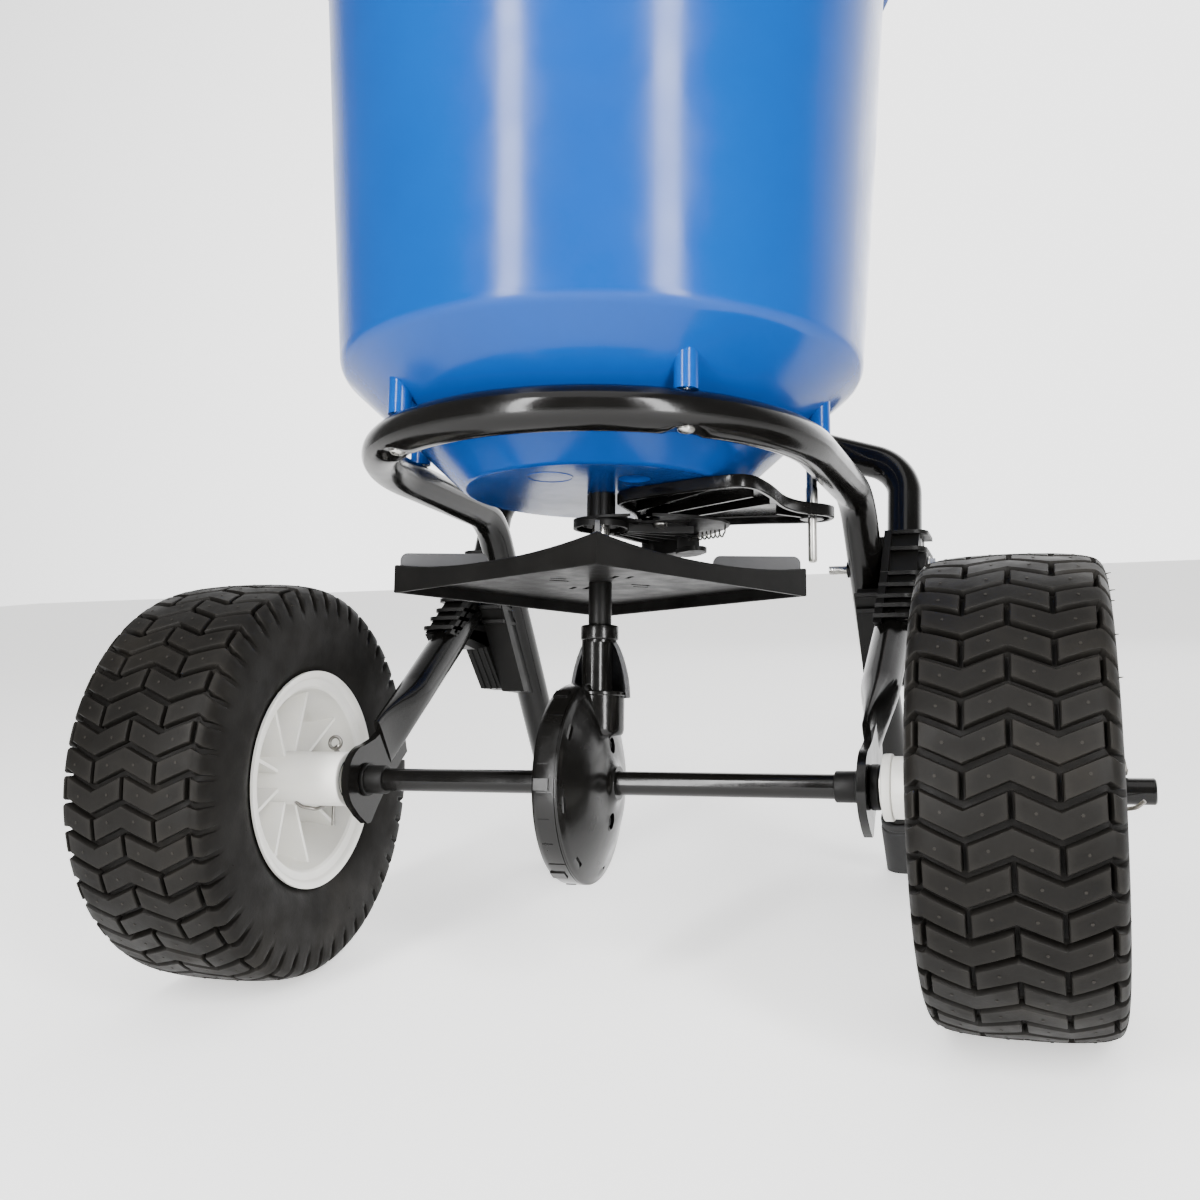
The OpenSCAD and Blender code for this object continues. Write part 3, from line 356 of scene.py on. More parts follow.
def pan_head(r, h):
    """A domed screw head with a cross recess, seated on local Z = 0 and rising along +Z."""
    dome = [(r * math.sin(a), h * math.cos(a) ** 0.8) for a in [math.radians(15 * i) for i in range(1, 6)]]
    head = Shape().stack([(r, -0.4), (r, h * 0.25)] + dome[::-1], steps=28)
    for a in (0, 90):
        head.cut(Shape().block((-r * 0.5, r * 0.5), (-r * 0.1, r * 0.1), (h * 0.35, h * 1.5),
                               Matrix.Rotation(math.radians(a + 20), 4, "Z")))
    return head


def hex_nut(r, h, m, bore=0.0):
    """A chamfered hexagon, with a bore when it is a nut."""
    nut = Shape()
    turned = [math.radians(60 * k) for k in range(6)]
    rings = []
    for scale, z in ((0.9, 0), (1, 0.12 * h), (1, 0.88 * h), (0.9, h)):
        ring = []
        for k, a in enumerate(turned):
            b = turned[(k + 1) % 6]
            for t in (0.08, 0.5, 0.92):
                x = r * ((1 - t) * math.cos(a) + t * math.cos(b))
                y = r * ((1 - t) * math.sin(a) + t * math.sin(b))
                pull = scale if t != 0.5 else 1 - (1 - scale) * 0.25
                ring.append((x * pull, y * pull, z))
        rings.append(ring)
    nut.loft(rings)
    if bore:
        nut.cut(Shape().rod(bore, -1, h + 1))
    return Shape().join(nut, m)


def wire(points, r, sides=14):
    """A round wire through points, smoothed."""
    smooth = []
    n = len(points)
    for i in range(n - 1):
        p0, p1, p2, p3 = (Vector(points[max(i - 1, 0)]), Vector(points[i]), Vector(points[i + 1]),
                          Vector(points[min(i + 2, n - 1)]))
        for k in range(6):
            smooth.append(curve(p0, p1, p2, p3, k / 6))
    smooth.append(Vector(points[-1]))
    stops = []
    for i, q in enumerate(smooth):
        ahead, behind = smooth[min(i + 1, len(smooth) - 1)], smooth[max(i - 1, 0)]
        stops.append((q, (ahead - behind).normalized()))
    return Shape().pipe(stops, r, sides)


# ---------------------------------------------------------------------------
# Routes of bent tubes
# ---------------------------------------------------------------------------
def route(points, bends, step=6.0):
    """Stops along a route of points with rounded inner corners."""
    stops = [(points[0], (points[1] - points[0]).normalized())]
    for i in range(1, len(points) - 1):
        d0 = (points[i] - points[i - 1]).normalized()
        d1 = (points[i + 1] - points[i]).normalized()
        turn = d0.angle(d1)
        inwards = d0.cross(d1).normalized().cross(d0)
        middle = points[i] - bends[i - 1] * math.tan(turn / 2) * d0 + bends[i - 1] * inwards
        steps = max(4, round(math.degrees(turn) / step))
        for k in range(steps + 1):
            w = turn * k / steps
            stops.append((middle - bends[i - 1] * math.cos(w) * inwards + bends[i - 1] * math.sin(w) * d0,
                          math.cos(w) * d0 + math.sin(w) * inwards))
    stops.append((points[-1], (points[-1] - points[-2]).normalized()))
    return stops


def lug_spots():
    """Where the hopper's screws stand on the hoop, seen from above."""
    return [(HOOP_R * math.cos(math.radians(a)), HOOP_R * math.sin(math.radians(a))) for a in LUG_ANGLES]


def hoop_stops():
    """Stops of the hoop and both rear legs, from the left foot round the front to the right foot."""
    right = route([Vector((HOOP_R, 0, HOOP_Z)), HOOP_CORNER, LEG_END], [40])[1:]
    left = [(MIRROR @ p, Vector((d.x, -d.y, -d.z))) for p, d in reversed(right)]
    ring = []
    for a in range(180, 361, 2):
        w = math.radians(a)
        ring.append((Vector((HOOP_R * math.cos(w), HOOP_R * math.sin(w), HOOP_Z)),
                     Vector((-math.sin(w), math.cos(w), 0))))
    return left + ring + right


# ---------------------------------------------------------------------------
# Materials
# ---------------------------------------------------------------------------
class Net:
    """A material under construction: its Principled shader and small node helpers."""

    def __init__(self, name, colour, rough, metallic=0.0, specular=0.5, coat=0.0, coat_rough=0.05):
        self.mat = bpy.data.materials.new(name)
        self.mat.use_nodes = True
        self.tree = self.mat.node_tree
        self.bsdf = self.tree.nodes["Principled BSDF"]
        self.colour = colour
        self.rough = rough
        self.set("Base Color", (*colour, 1))
        self.set("Roughness", rough)
        self.set("Metallic", metallic)
        self.set("Specular IOR Level", specular)
        self.set("Coat Weight", coat)
        self.set("Coat Roughness", coat_rough)
        self.coord = self.tree.nodes.new("ShaderNodeTexCoord").outputs["Object"]
        self.height = None
        self.base = colour

    def set(self, socket, value):
        """Sets one of the shader's values."""
        self.bsdf.inputs[socket].default_value = value

    def node(self, kind, **values):
        """A new node with its settings."""
        n = self.tree.nodes.new(kind)
        for key, value in values.items():
            setattr(n, key, value)
        return n

    def link(self, a, b):
        """Connects an output to an input."""
        self.tree.links.new(a, b)

    def noise(self, scale, detail=3.0, rough=0.55, stretch=None):
        """Noise at a scale per metre."""
        n = self.node("ShaderNodeTexNoise")
        n.inputs["Scale"].default_value = scale
        n.inputs["Detail"].default_value = detail
        n.inputs["Roughness"].default_value = rough
        if stretch:
            m = self.node("ShaderNodeMapping")
            m.inputs["Scale"].default_value = stretch
            self.link(self.coord, m.inputs["Vector"])
            self.link(m.outputs["Vector"], n.inputs["Vector"])
        else:
            self.link(self.coord, n.inputs["Vector"])
        return n.outputs["Fac"]

    def cells(self, scale, feature="F1"):
        """Cell pattern at a scale per metre."""
        n = self.node("ShaderNodeTexVoronoi", feature=feature)
        n.inputs["Scale"].default_value = scale
        self.link(self.coord, n.inputs["Vector"])
        return n.outputs["Distance"]

    def ramp(self, value, *stops):
        """A colour ramp through (place, value or colour) stops."""
        r = self.node("ShaderNodeValToRGB")
        while len(r.color_ramp.elements) < len(stops):
            r.color_ramp.elements.new(0.5)
        for e, (place, v) in zip(r.color_ramp.elements, stops):
            e.position = place
            e.color = (*v, 1) if isinstance(v, tuple) else (v, v, v, 1)
        self.link(value, r.inputs["Fac"])
        return r.outputs["Color"]

    def mix(self, fac, a, b):
        """Blends two colours by a factor."""
        n = self.node("ShaderNodeMix", data_type="RGBA")
        for socket, v in ((n.inputs["Factor"], fac), (n.inputs["A"], a), (n.inputs["B"], b)):
            if isinstance(v, (int, float)):
                socket.default_value = v
            elif isinstance(v, tuple):
                socket.default_value = (*v, 1)
            else:
                self.link(v, socket)
        return n.outputs["Result"]

    def mottle(self, amount, scale, detail=4.0):
        """Slow light and dark drift of the base colour."""
        lo = tuple(c * (1 - amount) for c in self.colour)
        hi = tuple(min(1.0, c * (1 + amount)) for c in self.colour)
        self.link_colour(self.ramp(self.noise(scale, detail), (0.3, lo), (0.7, hi)))

    def link_colour(self, colour):
        """Uses an output as the base colour."""
        self.link(colour, self.bsdf.inputs["Base Color"])
        self.base = colour

    def vary_rough(self, low, high, scale, detail=4.0, stretch=None):
        """Smoother and rougher patches."""
        self.link(self.ramp(self.noise(scale, detail, stretch=stretch), (0.3, low), (0.7, high)),
                  self.bsdf.inputs["Roughness"])

    def bump(self, value, distance, strength=1.0):
        """Adds a bump of a height in metres on top of the last one."""
        b = self.node("ShaderNodeBump")
        b.inputs["Strength"].default_value = strength
        b.inputs["Distance"].default_value = distance
        self.link(value, b.inputs["Height"])
        if self.height:
            self.link(self.height, b.inputs["Normal"])
        self.height = b.outputs["Normal"]
        self.link(self.height, self.bsdf.inputs["Normal"])

    def edges(self, edge_highlight, low=0.52, high=0.62, amount=0.6):
        """Painted highlight: a lighter colour where the surface is convex, as where light catches the edges."""
        g = self.node("ShaderNodeNewGeometry")
        edge_highlight_mask = self.ramp(g.outputs["Pointiness"], (low, 0.0), (high, amount))
        self.link_colour(self.mix(edge_highlight_mask, self.base, edge_highlight))


def make_materials():
    """Every material, all patterns being in object space and in metres."""
    made = {}

    n = Net("blue_plastic", (0.0002, 0.042, 0.215), 0.2, specular=0.2, coat=0.08, coat_rough=0.1)
    n.mottle(0.06, 7.0)
    n.vary_rough(0.15, 0.26, 38.0, 6.0)
    n.bump(n.noise(16.0, 2.0), 0.0012, 0.25)
    n.bump(n.noise(900.0, 2.0), 0.00004, 0.5)
    made["blue_plastic"] = n.mat

    n = Net("gloss_black_paint", (0.003, 0.0028, 0.0025), 0.15, specular=0.2, coat=0.1, coat_rough=0.06)
    n.mottle(0.25, 24.0)
    n.vary_rough(0.12, 0.24, 55.0, 6.0)
    n.bump(n.noise(420.0, 2.0), 0.00010, 0.35)
    n.bump(n.noise(60.0, 1.0), 0.0003, 0.2)
    made["gloss_black_paint"] = n.mat

    n = Net("black_plastic", (0.004, 0.0038, 0.0035), 0.38, specular=0.14)
    n.mottle(0.3, 40.0)
    n.vary_rough(0.34, 0.5, 90.0, 6.0)
    n.bump(n.noise(1500.0, 3.0), 0.00006, 0.6)
    n.bump(n.noise(70.0, 2.0), 0.0003, 0.15)
    made["black_plastic"] = n.mat

    n = Net("gloss_black_plastic", (0.003, 0.0028, 0.0025), 0.18, specular=0.26, coat=0.08, coat_rough=0.08)
    n.mottle(0.3, 30.0)
    n.vary_rough(0.13, 0.3, 70.0, 6.0)
    n.bump(n.noise(120.0, 3.0), 0.00025, 0.3)
    n.bump(n.noise(1600.0, 2.0), 0.00003, 0.4)
    made["gloss_black_plastic"] = n.mat

    # painted reflection: the shield's grey base colour, lighter than the black parts, stands in for the bright
    # surroundings it reflects
    n = Net("shield_plastic", (0.035, 0.035, 0.037), 0.5, specular=0.3)
    n.mottle(0.3, 60.0)
    n.bump(n.cells(900.0), 0.00025, 0.8)
    made["shield_plastic"] = n.mat

    n = Net("vane_plastic", (0.045, 0.045, 0.047), 0.55, specular=0.35)
    n.mottle(0.15, 50.0)
    n.bump(n.noise(1300.0, 3.0), 0.00008, 0.6)
    made["vane_plastic"] = n.mat

    n = Net("tyre_rubber", (0.006, 0.0054, 0.0046), 0.48, specular=0.1)
    n.link_colour(n.ramp(n.noise(22.0, 6.0), (0.3, (0.0035, 0.0031, 0.0026)), (0.55, (0.006, 0.0054, 0.0046)),
                         (0.8, (0.012, 0.0105, 0.0085))))
    n.vary_rough(0.42, 0.68, 60.0, 6.0)
    n.bump(n.noise(700.0, 4.0), 0.00012, 0.6)
    n.bump(n.noise(90.0, 3.0), 0.0004, 0.25)
    # painted highlight: the convex tread edges get a lighter colour, as if lit
    n.edges((0.032, 0.029, 0.025), 0.53, 0.66, 0.5)
    made["tyre_rubber"] = n.mat

    n = Net("rubber", (0.014, 0.014, 0.014), 0.6, specular=0.3)
    n.mottle(0.3, 50.0)
    n.bump(n.noise(1100.0, 3.0), 0.00008, 0.6)
    made["rubber"] = n.mat

    n = Net("white_plastic", (0.66, 0.65, 0.61), 0.36, specular=0.45)
    n.set("Subsurface Weight", 0.12)
    n.set("Subsurface Radius", (0.004, 0.004, 0.003))
    n.mottle(0.045, 28.0, 5.0)
    n.vary_rough(0.3, 0.44, 90.0, 5.0)
    n.bump(n.noise(1000.0, 2.0), 0.00004, 0.5)
    n.bump(n.noise(60.0, 2.0), 0.0004, 0.12)
    made["white_plastic"] = n.mat

    n = Net("zinc_steel", (0.56, 0.55, 0.52), 0.3, metallic=1.0)
    n.link_colour(n.ramp(n.noise(160.0, 5.0), (0.3, (0.44, 0.43, 0.40)), (0.7, (0.66, 0.65, 0.62))))
    n.vary_rough(0.2, 0.42, 260.0, 5.0, stretch=(1, 1, 0.15))
    n.bump(n.noise(1800.0, 3.0, stretch=(1, 1, 0.1)), 0.00003, 0.5)
    made["zinc_steel"] = n.mat

    n = Net("spring_steel", (0.2, 0.19, 0.17), 0.34, metallic=1.0)
    n.link_colour(n.ramp(n.noise(180.0, 5.0), (0.3, (0.15, 0.142, 0.128)), (0.7, (0.26, 0.25, 0.23))))
    n.vary_rough(0.26, 0.46, 300.0, 5.0)
    n.bump(n.noise(2000.0, 3.0), 0.00003, 0.5)
    made["spring_steel"] = n.mat

    n = Net("foam_grip", (0.013, 0.013, 0.013), 0.85, specular=0.2)
    n.mottle(0.35, 90.0)
    n.bump(n.cells(1400.0), 0.0004, 0.9)
    n.bump(n.noise(120.0, 4.0), 0.0005, 0.3)
    made["foam_grip"] = n.mat

    n = Net("gear_nylon", (0.62, 0.6, 0.52), 0.4, specular=0.4)
    n.mottle(0.08, 60.0)
    n.bump(n.noise(900.0, 2.0), 0.00005, 0.5)
    made["gear_nylon"] = n.mat

    n = Net("red_plastic", (0.33, 0.008, 0.004), 0.26, specular=0.3, coat=0.1)
    n.mottle(0.12, 40.0)
    n.vary_rough(0.22, 0.36, 80.0)
    n.bump(n.noise(1200.0, 2.0), 0.00004, 0.5)
    made["red_plastic"] = n.mat

    n = Net("floor", (0.86, 0.86, 0.855), 0.6, specular=0.2)
    n.set("Emission Color", (1, 0.99, 0.975, 1))
    n.set("Emission Strength", 0.85)
    n.mottle(0.02, 1.5)
    n.bump(n.noise(60.0, 4.0), 0.0004, 0.2)
    made["floor"] = n.mat
    return made


MAT = make_materials()


# ---------------------------------------------------------------------------
# Wheels
# ---------------------------------------------------------------------------
TREAD_ROWS = 48
ZIG_APEX = 19.0
ZIG_HEIGHT = 4.2
GROOVE_HALF = 1.8
TREAD_DEPTH = 4.6
SHOULDER_START = 44.0
SHOULDER_END = 55.0


def tyre_profile():
    """Half of the tyre's outside from crown to bead as (across, radius), then smoothed."""
    raw = [(0, 114.0), (10, 113.9), (20, 113.5), (28, 112.8), (35, 111.7), (40, 109.6), (42.7, 105.0),
           (43.9, 97.5), (44.4, 88), (44.1, 78), (42.8, 69), (40.6, 64.2), (39.4, 62.4), (38.8, 58), (38.6, 53.4)]
    points = []
    for i in range(len(raw) - 1):
        p0, p1, p2, p3 = raw[max(i - 1, 0)], raw[i], raw[i + 1], raw[min(i + 2, len(raw) - 1)]
        if i == 0:
            p0 = (-raw[1][0], raw[1][1])
        for k in range(8):
            t = k / 8
            points.append(tuple(curve(p0[j], p1[j], p2[j], p3[j], t) for j in (0, 1)))
    points.append(raw[-1])
    lengths = [0.0]
    for a, b in zip(points, points[1:]):
        lengths.append(lengths[-1] + math.dist(a, b))
    return points, lengths


PROFILE, PROFILE_LEN = tyre_profile()


def on_profile(s):
    """Point and outward normal of the tyre's section at arc length s from the crown."""
    sign = -1 if s < 0 else 1
    s = min(abs(s), PROFILE_LEN[-1])
    i = next(i for i in range(len(PROFILE_LEN) - 1) if PROFILE_LEN[i + 1] >= s)
    t = (s - PROFILE_LEN[i]) / (PROFILE_LEN[i + 1] - PROFILE_LEN[i])
    (x0, r0), (x1, r1) = PROFILE[i], PROFILE[i + 1]
    d = math.dist((x0, r0), (x1, r1))
    return sign * (x0 + (x1 - x0) * t), r0 + (r1 - r0) * t, sign * (r0 - r1) / d, (x1 - x0) / d


def zigzag(s):
    """Sideways run of the lateral grooves: up at the middle, down at one apex out."""
    s = min(abs(s), 2.3 * ZIG_APEX)
    phase = (s / ZIG_APEX) % 2
    return ZIG_HEIGHT * (1 - 2 * (phase if phase <= 1 else 2 - phase))


def tread_samples():
    """Places across the tyre: close together at the split grooves, wider between them."""
    half = {0.0, 5.0, 9.5, 14.0, 24.0, 28.5, 33.0, 42.2}
    for apex in (0.0, ZIG_APEX, 2 * ZIG_APEX):
        for off in (0.0, 0.9, 1.25, 1.75):
            half.update({round(apex + off, 3), round(abs(apex - off), 3)})
    half.update({SHOULDER_START, 46.5, 49.0, 51.5, 54.0, 56.0, 59.0, 62.5, 66.0, 70.0, 74.0, 78.0, 82.0})
    end = PROFILE_LEN[-1]
    half.update({86.0, 89.0, 91.0, 92.5, 94.0, end - 5.0, end})
    half = sorted(s for s in half if s <= end)
    return [-s for s in reversed(half) if s > 0] + half


def split_depth(s, row):
    """Depth of the grooves that run round the tyre, in alternate rows."""
    apexes = (0.0, 2 * ZIG_APEX) if row % 2 == 0 else (ZIG_APEX,)
    d = min(abs(abs(s) - a) for a in apexes)
    return 0.0 if d > 1.7 else (0.5 if d > 1.2 else TREAD_DEPTH - (0.25 if d > 0.85 else 0.0))


def tyre_shape():
    """Tyre with its tread blocks; the axis is local X through the wheel's middle."""
    pitch = 2 * math.pi * TYRE_R / TREAD_ROWS
    across = tread_samples()
    around = []
    for row in range(TREAD_ROWS):
        for off, lat, owner in ((-GROOVE_HALF - 0.55, 0.0, row - 1), (-GROOVE_HALF - 0.05, 0.5, row - 1),
                                (-GROOVE_HALF + 0.3, TREAD_DEPTH - 0.3, row), (0.0, TREAD_DEPTH, row),
                                (GROOVE_HALF - 0.3, TREAD_DEPTH - 0.3, row), (GROOVE_HALF + 0.05, 0.5, row),
                                (GROOVE_HALF + 0.55, 0.0, row), (pitch * 0.36, 0.0, row), (pitch * 0.64, 0.0, row)):
            around.append((row * pitch + off, lat, owner % TREAD_ROWS))
    inner = [(34.0, 53.2), (30.0, 62.0), (37.0, 82.0), (35.5, 98.0), (27.0, 104.5), (0.0, 106.0),
             (-27.0, 104.5), (-35.5, 98.0), (-37.0, 82.0), (-30.0, 62.0), (-34.0, 53.2)]
    rings = []
    for t, lat, owner in around:
        ring = []
        for s in across:
            x, r, nx, nr = on_profile(s)
            fade = min(1.0, max(0.0, (SHOULDER_END - abs(s)) / (SHOULDER_END - SHOULDER_START)))
            depth = max(lat, split_depth(s, owner) if lat < 1 else 0.0) * fade
            if 66 < abs(s) < 92:
                depth -= 0.21 * max(0.0, math.sin((abs(s) - 66) / 26 * 6 * math.pi))
            x -= nx * depth
            r -= nr * depth
            a = (t - zigzag(s)) / TYRE_R
            ring.append((x, r * math.cos(a), r * math.sin(a)))
        for x, r in inner:
            a = t / TYRE_R
            ring.append((x, r * math.cos(a), r * math.sin(a)))
        rings.append(ring)
    return Shape().loft(rings, close=True)


def tyre_trim(seed):
    """Mould nubs on the blocks, and vent whiskers on the shoulders of the upper half."""
    rnd = random.Random(seed)
    shape = Shape()
    pitch = 2 * math.pi * TYRE_R / TREAD_ROWS

    def stud(s, t, r, height, thin=1.0):
        """One nub or whisker standing on the tread."""
        x, rad, nx, nr = on_profile(s)
        a = (t - zigzag(s)) / TYRE_R
        out = Vector((nx, nr * math.cos(a), nr * math.sin(a)))
        at = Vector((x, rad * math.cos(a), rad * math.sin(a)))
        m = frame_at(at - out * 0.3, (1, 0, 0.01), out)
        shape.rod(r, 0, height + 0.3, m, steps=6, r1=r * thin)

    for row in range(TREAD_ROWS):
        spots = (-28, -10, 10, 28) if row % 2 == 0 else (-30, -8, 8, 30)
        for s in spots:
            stud(s + rnd.uniform(-1.5, 1.5), (row + 0.5) * pitch + rnd.uniform(-1, 1), 0.75, 0.22)
        for side in (-1, 1):
            a = (row + 0.5) * pitch / TYRE_R
            if rnd.random() < 0.6 and math.sin(a + math.pi / 2) > 0.35:
                stud(side * rnd.uniform(47, 51), (row + rnd.uniform(0.2, 0.8)) * pitch, 0.35,
                     rnd.uniform(1.2, 2.4), 0.5)
            if rnd.random() < 0.35:
                stud(side * rnd.uniform(60, 84), (row + rnd.random()) * pitch, 0.35, rnd.uniform(0.3, 0.5), 0.7)
    return shape


def wheel_place(side):
    """The wheel's middle on the axle, mirrored for the left one."""
    m = Matrix.Translation((WHEEL_X, 0, AXLE_Z))
    # local Y is up, so that the seeded whiskers sit on the upper half
    turn = Matrix.Rotation(math.radians(90), 4, "X")
    return (MIRROR @ m @ turn) if side < 0 else (m @ turn)


HUB_R = 15.5
HUB_IN = 152 - WHEEL_X
HUB_OUT = 258 - WHEEL_X
WEB_X = -5.0
RIM_R = 62.3
RIBS = 9
RIB_TURN = 85.0
PIN_X = 162.0


def rim_shape(side):
    """White moulded rim: stepped lips, barrel, web, hub and ribs on both faces."""
    turned = along("x")
    barrel = [(RIM_R, -42.6), (RIM_R, -40.9), (RIM_R - 0.9, -40.1), (56.5, -39.6), (54.4, -39.0), (53.0, -37.2),
              (53.0, -30.5), (52.2, -28.8), (49.6, -20.5), (49.3, -18), (49.3, 18), (49.6, 20.5), (52.2, 28.8),
              (53.0, 30.5), (53.0, 37.2), (54.4, 39.0), (56.5, 39.6), (RIM_R - 0.9, 40.1), (RIM_R, 40.9),
              (RIM_R, 42.6), (RIM_R - 0.8, 42.6), (59.6, 42.5), (58.6, 41.8), (57.6, 40.2), (55.8, 39.4),
              (53.4, 39.0), (52.2, 37.8), (50.6, 30.0), (47.0, 19.5), (46.5, 17.0), (46.5, WEB_X + 3.6),
              (44.9, WEB_X + 1.9), (42.0, WEB_X + 1.6), (HUB_R - 2, WEB_X + 1.6), (HUB_R - 2, WEB_X - 1.6),
              (42.0, WEB_X - 1.6), (44.9, WEB_X - 1.9), (46.5, WEB_X - 3.6), (46.5, -17.0), (47.0, -19.5),
              (50.6, -30.0), (52.2, -37.8), (53.4, -39.0), (55.8, -39.4), (57.6, -40.2), (58.6, -41.8),
              (59.6, -42.5), (RIM_R - 0.8, -42.6)]
    shape = Shape()
    shape.lathe(barrel, turned, steps=144)
    hub = [(6.4, HUB_IN), (6.4, HUB_OUT), (HUB_R - 2.2, HUB_OUT), (HUB_R - 0.6, HUB_OUT - 0.6),
           (HUB_R, HUB_OUT - 2.2), (HUB_R, HUB_IN + 2.2), (HUB_R - 0.6, HUB_IN + 0.6), (HUB_R - 2.2, HUB_IN),
           (12.2, HUB_IN), (12.0, HUB_IN + 1.2), (11.0, HUB_IN + 1.4), (10.8, HUB_IN)]
    core = Shape().lathe(hub, turned, steps=64)
    core.rod(HUB_R + 1.2, HUB_IN, HUB_IN + 5, turned, bore=12.5, edge=1.0, steps=64)
    if side < 0:
        core.cut(Shape().rod(1.75, -30, 30, Matrix.Translation((PIN_X - WHEEL_X, 0, 0))))
    shape.join(core)
    inner = [(WEB_X - 1, 14.0), (-26, 14.0), (-31, 50.4), (-26, 49.4), (-19, 47.2), (WEB_X - 1, 47.2)]
    outer = [(WEB_X + 1, 14.0), (WEB_X + 1, 47.2), (15, 47.2), (19, 48.0), (25, 14.0)]
    for i in range(RIBS):
        spin = Matrix.Rotation(math.radians(RIB_TURN + 360 * i / RIBS), 4, "X")
        for outline in (inner, outer):
            shape.prism(outline, -1.0, 1.0, spin)
    return shape


def hub_bush():
    """Dark lining that shows inside the hub's end ring."""
    shape = Shape()
    shape.rod(11.0, HUB_IN + 0.4, HUB_IN + 9, along("x"), bore=6.6, edge=0.4, steps=40)
    shape.rod(11.0, HUB_OUT - 9, HUB_OUT + 0.3, along("x"), bore=6.6, edge=0.4, steps=40)
    return shape


def valve_shape():
    """Tyre valve: rubber stem, thread and knurled cap."""
    shape = Shape()
    m = Matrix.Rotation(math.radians(15), 4, "X") @ frame_at((17, 0, -47.5), (0, 0, 1), (1, 0, 0))
    shape.rod(3.2, 0, 17, m, steps=24)
    shape.rod(2.6, 16.8, 20.6, m, steps=24)
    for i in range(5):
        shape.rod(2.85, 16.9 + 0.75 * i, 17.2 + 0.75 * i, m, steps=24)
    shape.rod(3.9, 20.2, 25.3, m, steps=24, edge=0.5)
    for i in range(12):
        a = 2 * math.pi * i / 12
        shape.rod(0.35, 20.8, 24.8, m @ Matrix.Translation((3.6 * math.cos(a), 3.6 * math.sin(a), 0)), steps=6)
    return shape


def make_wheels():
    """Tyre, rim, bush lining and valve on both sides; the left wheel turns with the axle."""
    for side, label, body in ((-1, "left", "drive_axle"), (1, "right", "free_wheel")):
        place = wheel_place(side)
        tyre = Shape().join(tyre_shape(), place).join(tyre_trim(4 + side), place)
        piece(f"turf_tyre_{label}", tyre, body, "tyre_rubber", [f"tyre_{label}"], sharp=38)
        base = Matrix.Translation((WHEEL_X, 0, AXLE_Z))
        base = MIRROR @ base if side < 0 else base
        piece(f"moulded_rim_{label}", Shape().join(rim_shape(side), base), body, "white_plastic", [f"rim_{label}"])
        piece(f"hub_bush_{label}", Shape().join(hub_bush(), base), body, "black_plastic")
        piece(f"tyre_valve_{label}", Shape().join(valve_shape(), base), body, "rubber", [f"valve_{label}"])


# ---------------------------------------------------------------------------
# Frame tubes
# ---------------------------------------------------------------------------
DENT = 3.2
DENT_RUN = 9.0


def make_hoop():
    """Front hoop and rear legs in one tube, pressed flat from below round each hopper screw."""
    stops = hoop_stops()
    spots = [Vector((*p, HOOP_Z)) for p in lug_spots()]

    def pressed(rad):
        """Section function with the underside flattened near the screws."""
        def section(i):
            """Points of the section at stop i."""
            near = min((stops[i][0] - p).length for p in spots)
            limit = rad - DENT * math.exp(-(near / DENT_RUN) ** 4)
            ring = []
            for k in range(40):
                a, b = rad * math.cos(2 * math.pi * k / 40), rad * math.sin(2 * math.pi * k / 40)
                ring.append((a, min(b, limit)))
            return ring
        return section

    hoop = Shape()
    outer, inner = hoop.section_rings(stops, pressed(TUBE_R)), hoop.section_rings(stops, pressed(TUBE_R - 1.5))
    hoop.loft(outer + inner[::-1], close=True)
    piece("front_hoop", hoop, "frame", "gloss_black_paint", ["hoop_tube"])


PLATE_X = (141.0, 145.5)


def lower_tube():
    """Bent handle tube whose lower end is pressed flat into the axle plate."""
    direction = (KNEE - TUBE_START).normalized()
    stops, squash = [], []
    for k in range(12):
        t = k / 12
        stops.append((TUBE_START + direction * (46 * t - 12 * (1 - t)), direction))
        squash.append(1 - 0.5 * (1 + math.cos(math.pi * t)))
    stops += route([TUBE_START, KNEE, SHOULDER, HIP, HIP + JOINT_AT * UP], [50, 28, 30], 5.0)[1:]
    squash += [1.0] * (len(stops) - len(squash))

    def section(i):
        """Points of the section at stop i."""
        w = squash[i]
        flat, wide = 2.25 + (TUBE_R - 2.25) * w, 15.5 + (TUBE_R - 15.5) * w
        power = 0.45 + 0.55 * w
        ring = []
        for k in range(36):
            c, s = math.cos(2 * math.pi * k / 36), math.sin(2 * math.pi * k / 36)
            ring.append((flat * math.copysign(abs(c) ** power, c), wide * math.copysign(abs(s) ** power, s)))
        return ring

    shape = Shape()
    shape.sweep(stops, section)
    outline = arc((-1, 0), 19.5, 95, 227, 11)
    outline += [(-6, -20.5), (2.5, -25), (6.5, -24.6), (14, -15), (24, -4), (31, 3), (47, 16), (38, 41), (22, 31),
                (8, 23)]
    plate = Shape().prism(outline, *PLATE_X, Matrix.Translation((0, 0, AXLE_Z)) @ SIDE_VIEW)
    plate.cut(Shape().rod(8.05, 130, 160, along("x", (0, 0, AXLE_Z))))
    shape.join(plate)
    return shape


def make_lower_tubes():
    """The bent handle tubes on both sides."""
    tube = lower_tube()
    for label, m in (("right", None), ("left", MIRROR)):
        piece(f"bent_handle_tube_{label}", Shape().join(tube, m), "frame", "gloss_black_paint", [f"lower_tube_{label}"])


CLAMP_SPLIT = 135.9
RIB_HEIGHTS = (209.5, 216.5, 223, 231, 239.5, 257, 269.2)
CLAMP_KNEE_Z = 239.5


def rib_front(z):
    """Front edge of a clamp rib, which follows the bent tube."""
    return 91 + 1.25 * (z - 209.5) if z < CLAMP_KNEE_Z else 128.5 + 0.85 * (z - CLAMP_KNEE_Z)


